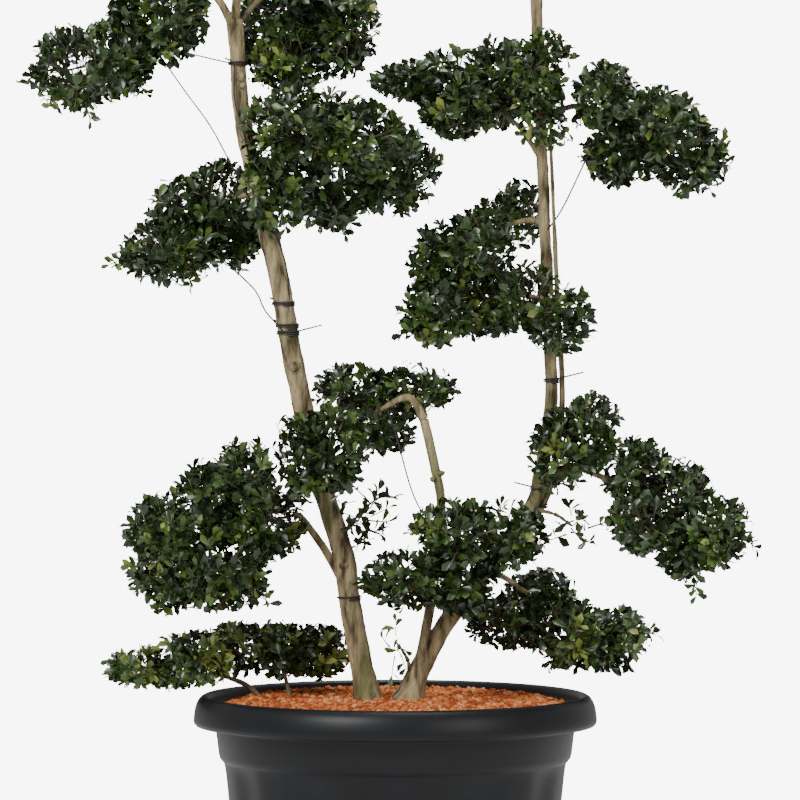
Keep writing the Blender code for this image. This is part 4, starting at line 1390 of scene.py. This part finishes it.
    def grow(self) -> None:
        """Grow the whole cloud."""
        self.stems()
        self.sprigs()
        shells = CLOSE_SHELLS if self.cloud.dense else LOOSE_SHELLS
        for lobe, shell in ((lobe, shell) for lobe in self.cloud.lobes for shell in shells):
            start, end = self.tips(lobe, shell)
            seen = (self.cloud.levels(end) >= self.hidden * shell.share).all(axis=1)
            seen &= np.array([noise.noise(Vector(place * self.gap_scale)) > self.gap_level for place in end])
            seen &= self.free(end, self.reach) & self.free((start + end) / 2, self.reach)
            start, end = start[seen], end[seen]
            self.add_twigs(start, end, self.rng.uniform(self.thinnest_twig, self.thickest_twig, len(start)))
            self.sprays(start, end, Spray(shell.leaves))
            if shell.outer:
                self.blossom(end)

    def build(self, leaf: list[Material], twig: Material, bud: Material) -> None:
        """Gather what has grown into pieces that stand for the cloud's plain solid.

        Args:
            leaf: The leaf tints.
            twig: The twigs' bark.
            bud: The blossom's material.
        """
        self.grow()
        node = self.cloud.node
        leaves = piece(f"Leaves_{node}", self.leaves.mesh(f"Leaves_{node}"), leaf)
        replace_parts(leaves, node)
        piece(f"Twigs_{node}", self.twigs.mesh(f"Twigs_{node}"), [twig])
        if self.buds.placed_count():
            piece(f"Blossom_{node}", self.buds.mesh(f"Blossom_{node}"), [bud])


@dataclass(frozen=True)
class Lamp:
    """A soft square light that faces the plant."""

    name: str
    place: Point
    power: float
    size: float
    aim: Point = (0.0, 0.0, 0.95)

    def build(self) -> None:
        """Hang the light."""
        lamp = bpy.data.lights.new(self.name, "AREA")
        lamp.energy = self.power
        lamp.size = self.size
        holder = bpy.data.objects.new(self.name, lamp)
        holder.location = self.place
        holder.rotation_euler = (Vector(self.aim) - Vector(self.place)).to_track_quat("-Z", "Y").to_euler()
        bpy.context.scene.collection.objects.link(holder)


@dataclass
class Studio:
    """The pale floor, the soft lights and the camera."""

    distance: float = 9.0
    camera_x: float = 0.0066
    camera_height: float = 1.157
    tilt: float = 2.15
    lens: float = 292.6
    sensor: float = 36.0
    floor_half: float = 2.5
    sky_light: float = 0.55
    sky_seen: float = 8.0
    lamps: tuple[Lamp, ...] = (
        Lamp("Key", (-3.0, -4.5, 4.2), 330.0, 2.2),
        Lamp("Fill", (3.6, -4.0, 2.4), 90.0, 2.4),
        Lamp("Top", (0.3, 0.8, 4.8), 170.0, 2.5),
    )

    def floor(self, material: Material) -> None:
        """Lay the floor.

        Args:
            material: The floor's material.
        """
        shape = bmesh.new()
        bmesh.ops.create_grid(shape, x_segments=4, y_segments=4, size=self.floor_half)
        mesh = bpy.data.meshes.new("Floor")
        shape.to_mesh(mesh)
        shape.free()
        mesh.materials.append(material)
        ground = bpy.data.objects.new("Floor", mesh)
        bpy.context.scene.collection.objects.link(ground)

    def sky(self) -> None:
        """Fill the room with soft white light, behind a background that is seen brighter."""
        world = bpy.data.worlds.new("Studio")
        world.use_nodes = True
        tree = world.node_tree
        background = tree.nodes["Background"]
        background.inputs["Color"].default_value = (1.0, 1.0, 1.0, 1.0)
        path = tree.nodes.new("ShaderNodeLightPath")
        bright = tree.nodes.new("ShaderNodeMapRange")
        bright.inputs["To Min"].default_value = self.sky_light
        bright.inputs["To Max"].default_value = self.sky_seen
        tree.links.new(path.outputs["Is Camera Ray"], bright.inputs["Value"])
        tree.links.new(bright.outputs["Result"], background.inputs["Strength"])
        bpy.context.scene.world = world

    def camera(self) -> None:
        """Stand the camera in front of the plant."""
        camera = bpy.data.cameras.new("Camera")
        camera.lens = self.lens
        camera.sensor_width = self.sensor
        camera.clip_end = 200.0
        holder = bpy.data.objects.new("Camera", camera)
        holder.location = (self.camera_x, -self.distance, self.camera_height)
        holder.rotation_euler = (math.radians(90 - self.tilt), 0.0, 0.0)
        bpy.context.scene.collection.objects.link(holder)
        bpy.context.scene.camera = holder

    def build(self, floor: Material) -> None:
        """Set the plant up for its picture.

        Args:
            floor: The floor's material.
        """
        self.floor(floor)
        self.sky()
        for lamp in self.lamps:
            lamp.build()
        self.camera()


def main() -> None:
    """Build every piece in order."""
    group = Speckle().build()
    Studio().build(FLOOR_PALE.material(group))
    Pot().build(POT_BLACK.material(group))
    Fill().build(CLAY_BED_PAINTED_SHADE.material(group), [tint.material(group) for tint in CLAY_TINTS])
    limbs = Limbs()
    pale = BARK_PALE.material(group)
    limbs.build(pale, BARK_YOUNG.material(group))
    Knots().build(pale)
    Wires().build(WIRE_BROWN.material(group))
    leaf = [tint.material(group) for tint in LEAF_TINTS]
    twig, bud = BARK_TWIG.material(group), BLOSSOM_CREAM.material(group)
    for cloud in CLOUDS:
        Foliage(cloud, limbs).build(leaf, twig, bud)


if __name__ == "__main__":
    main()
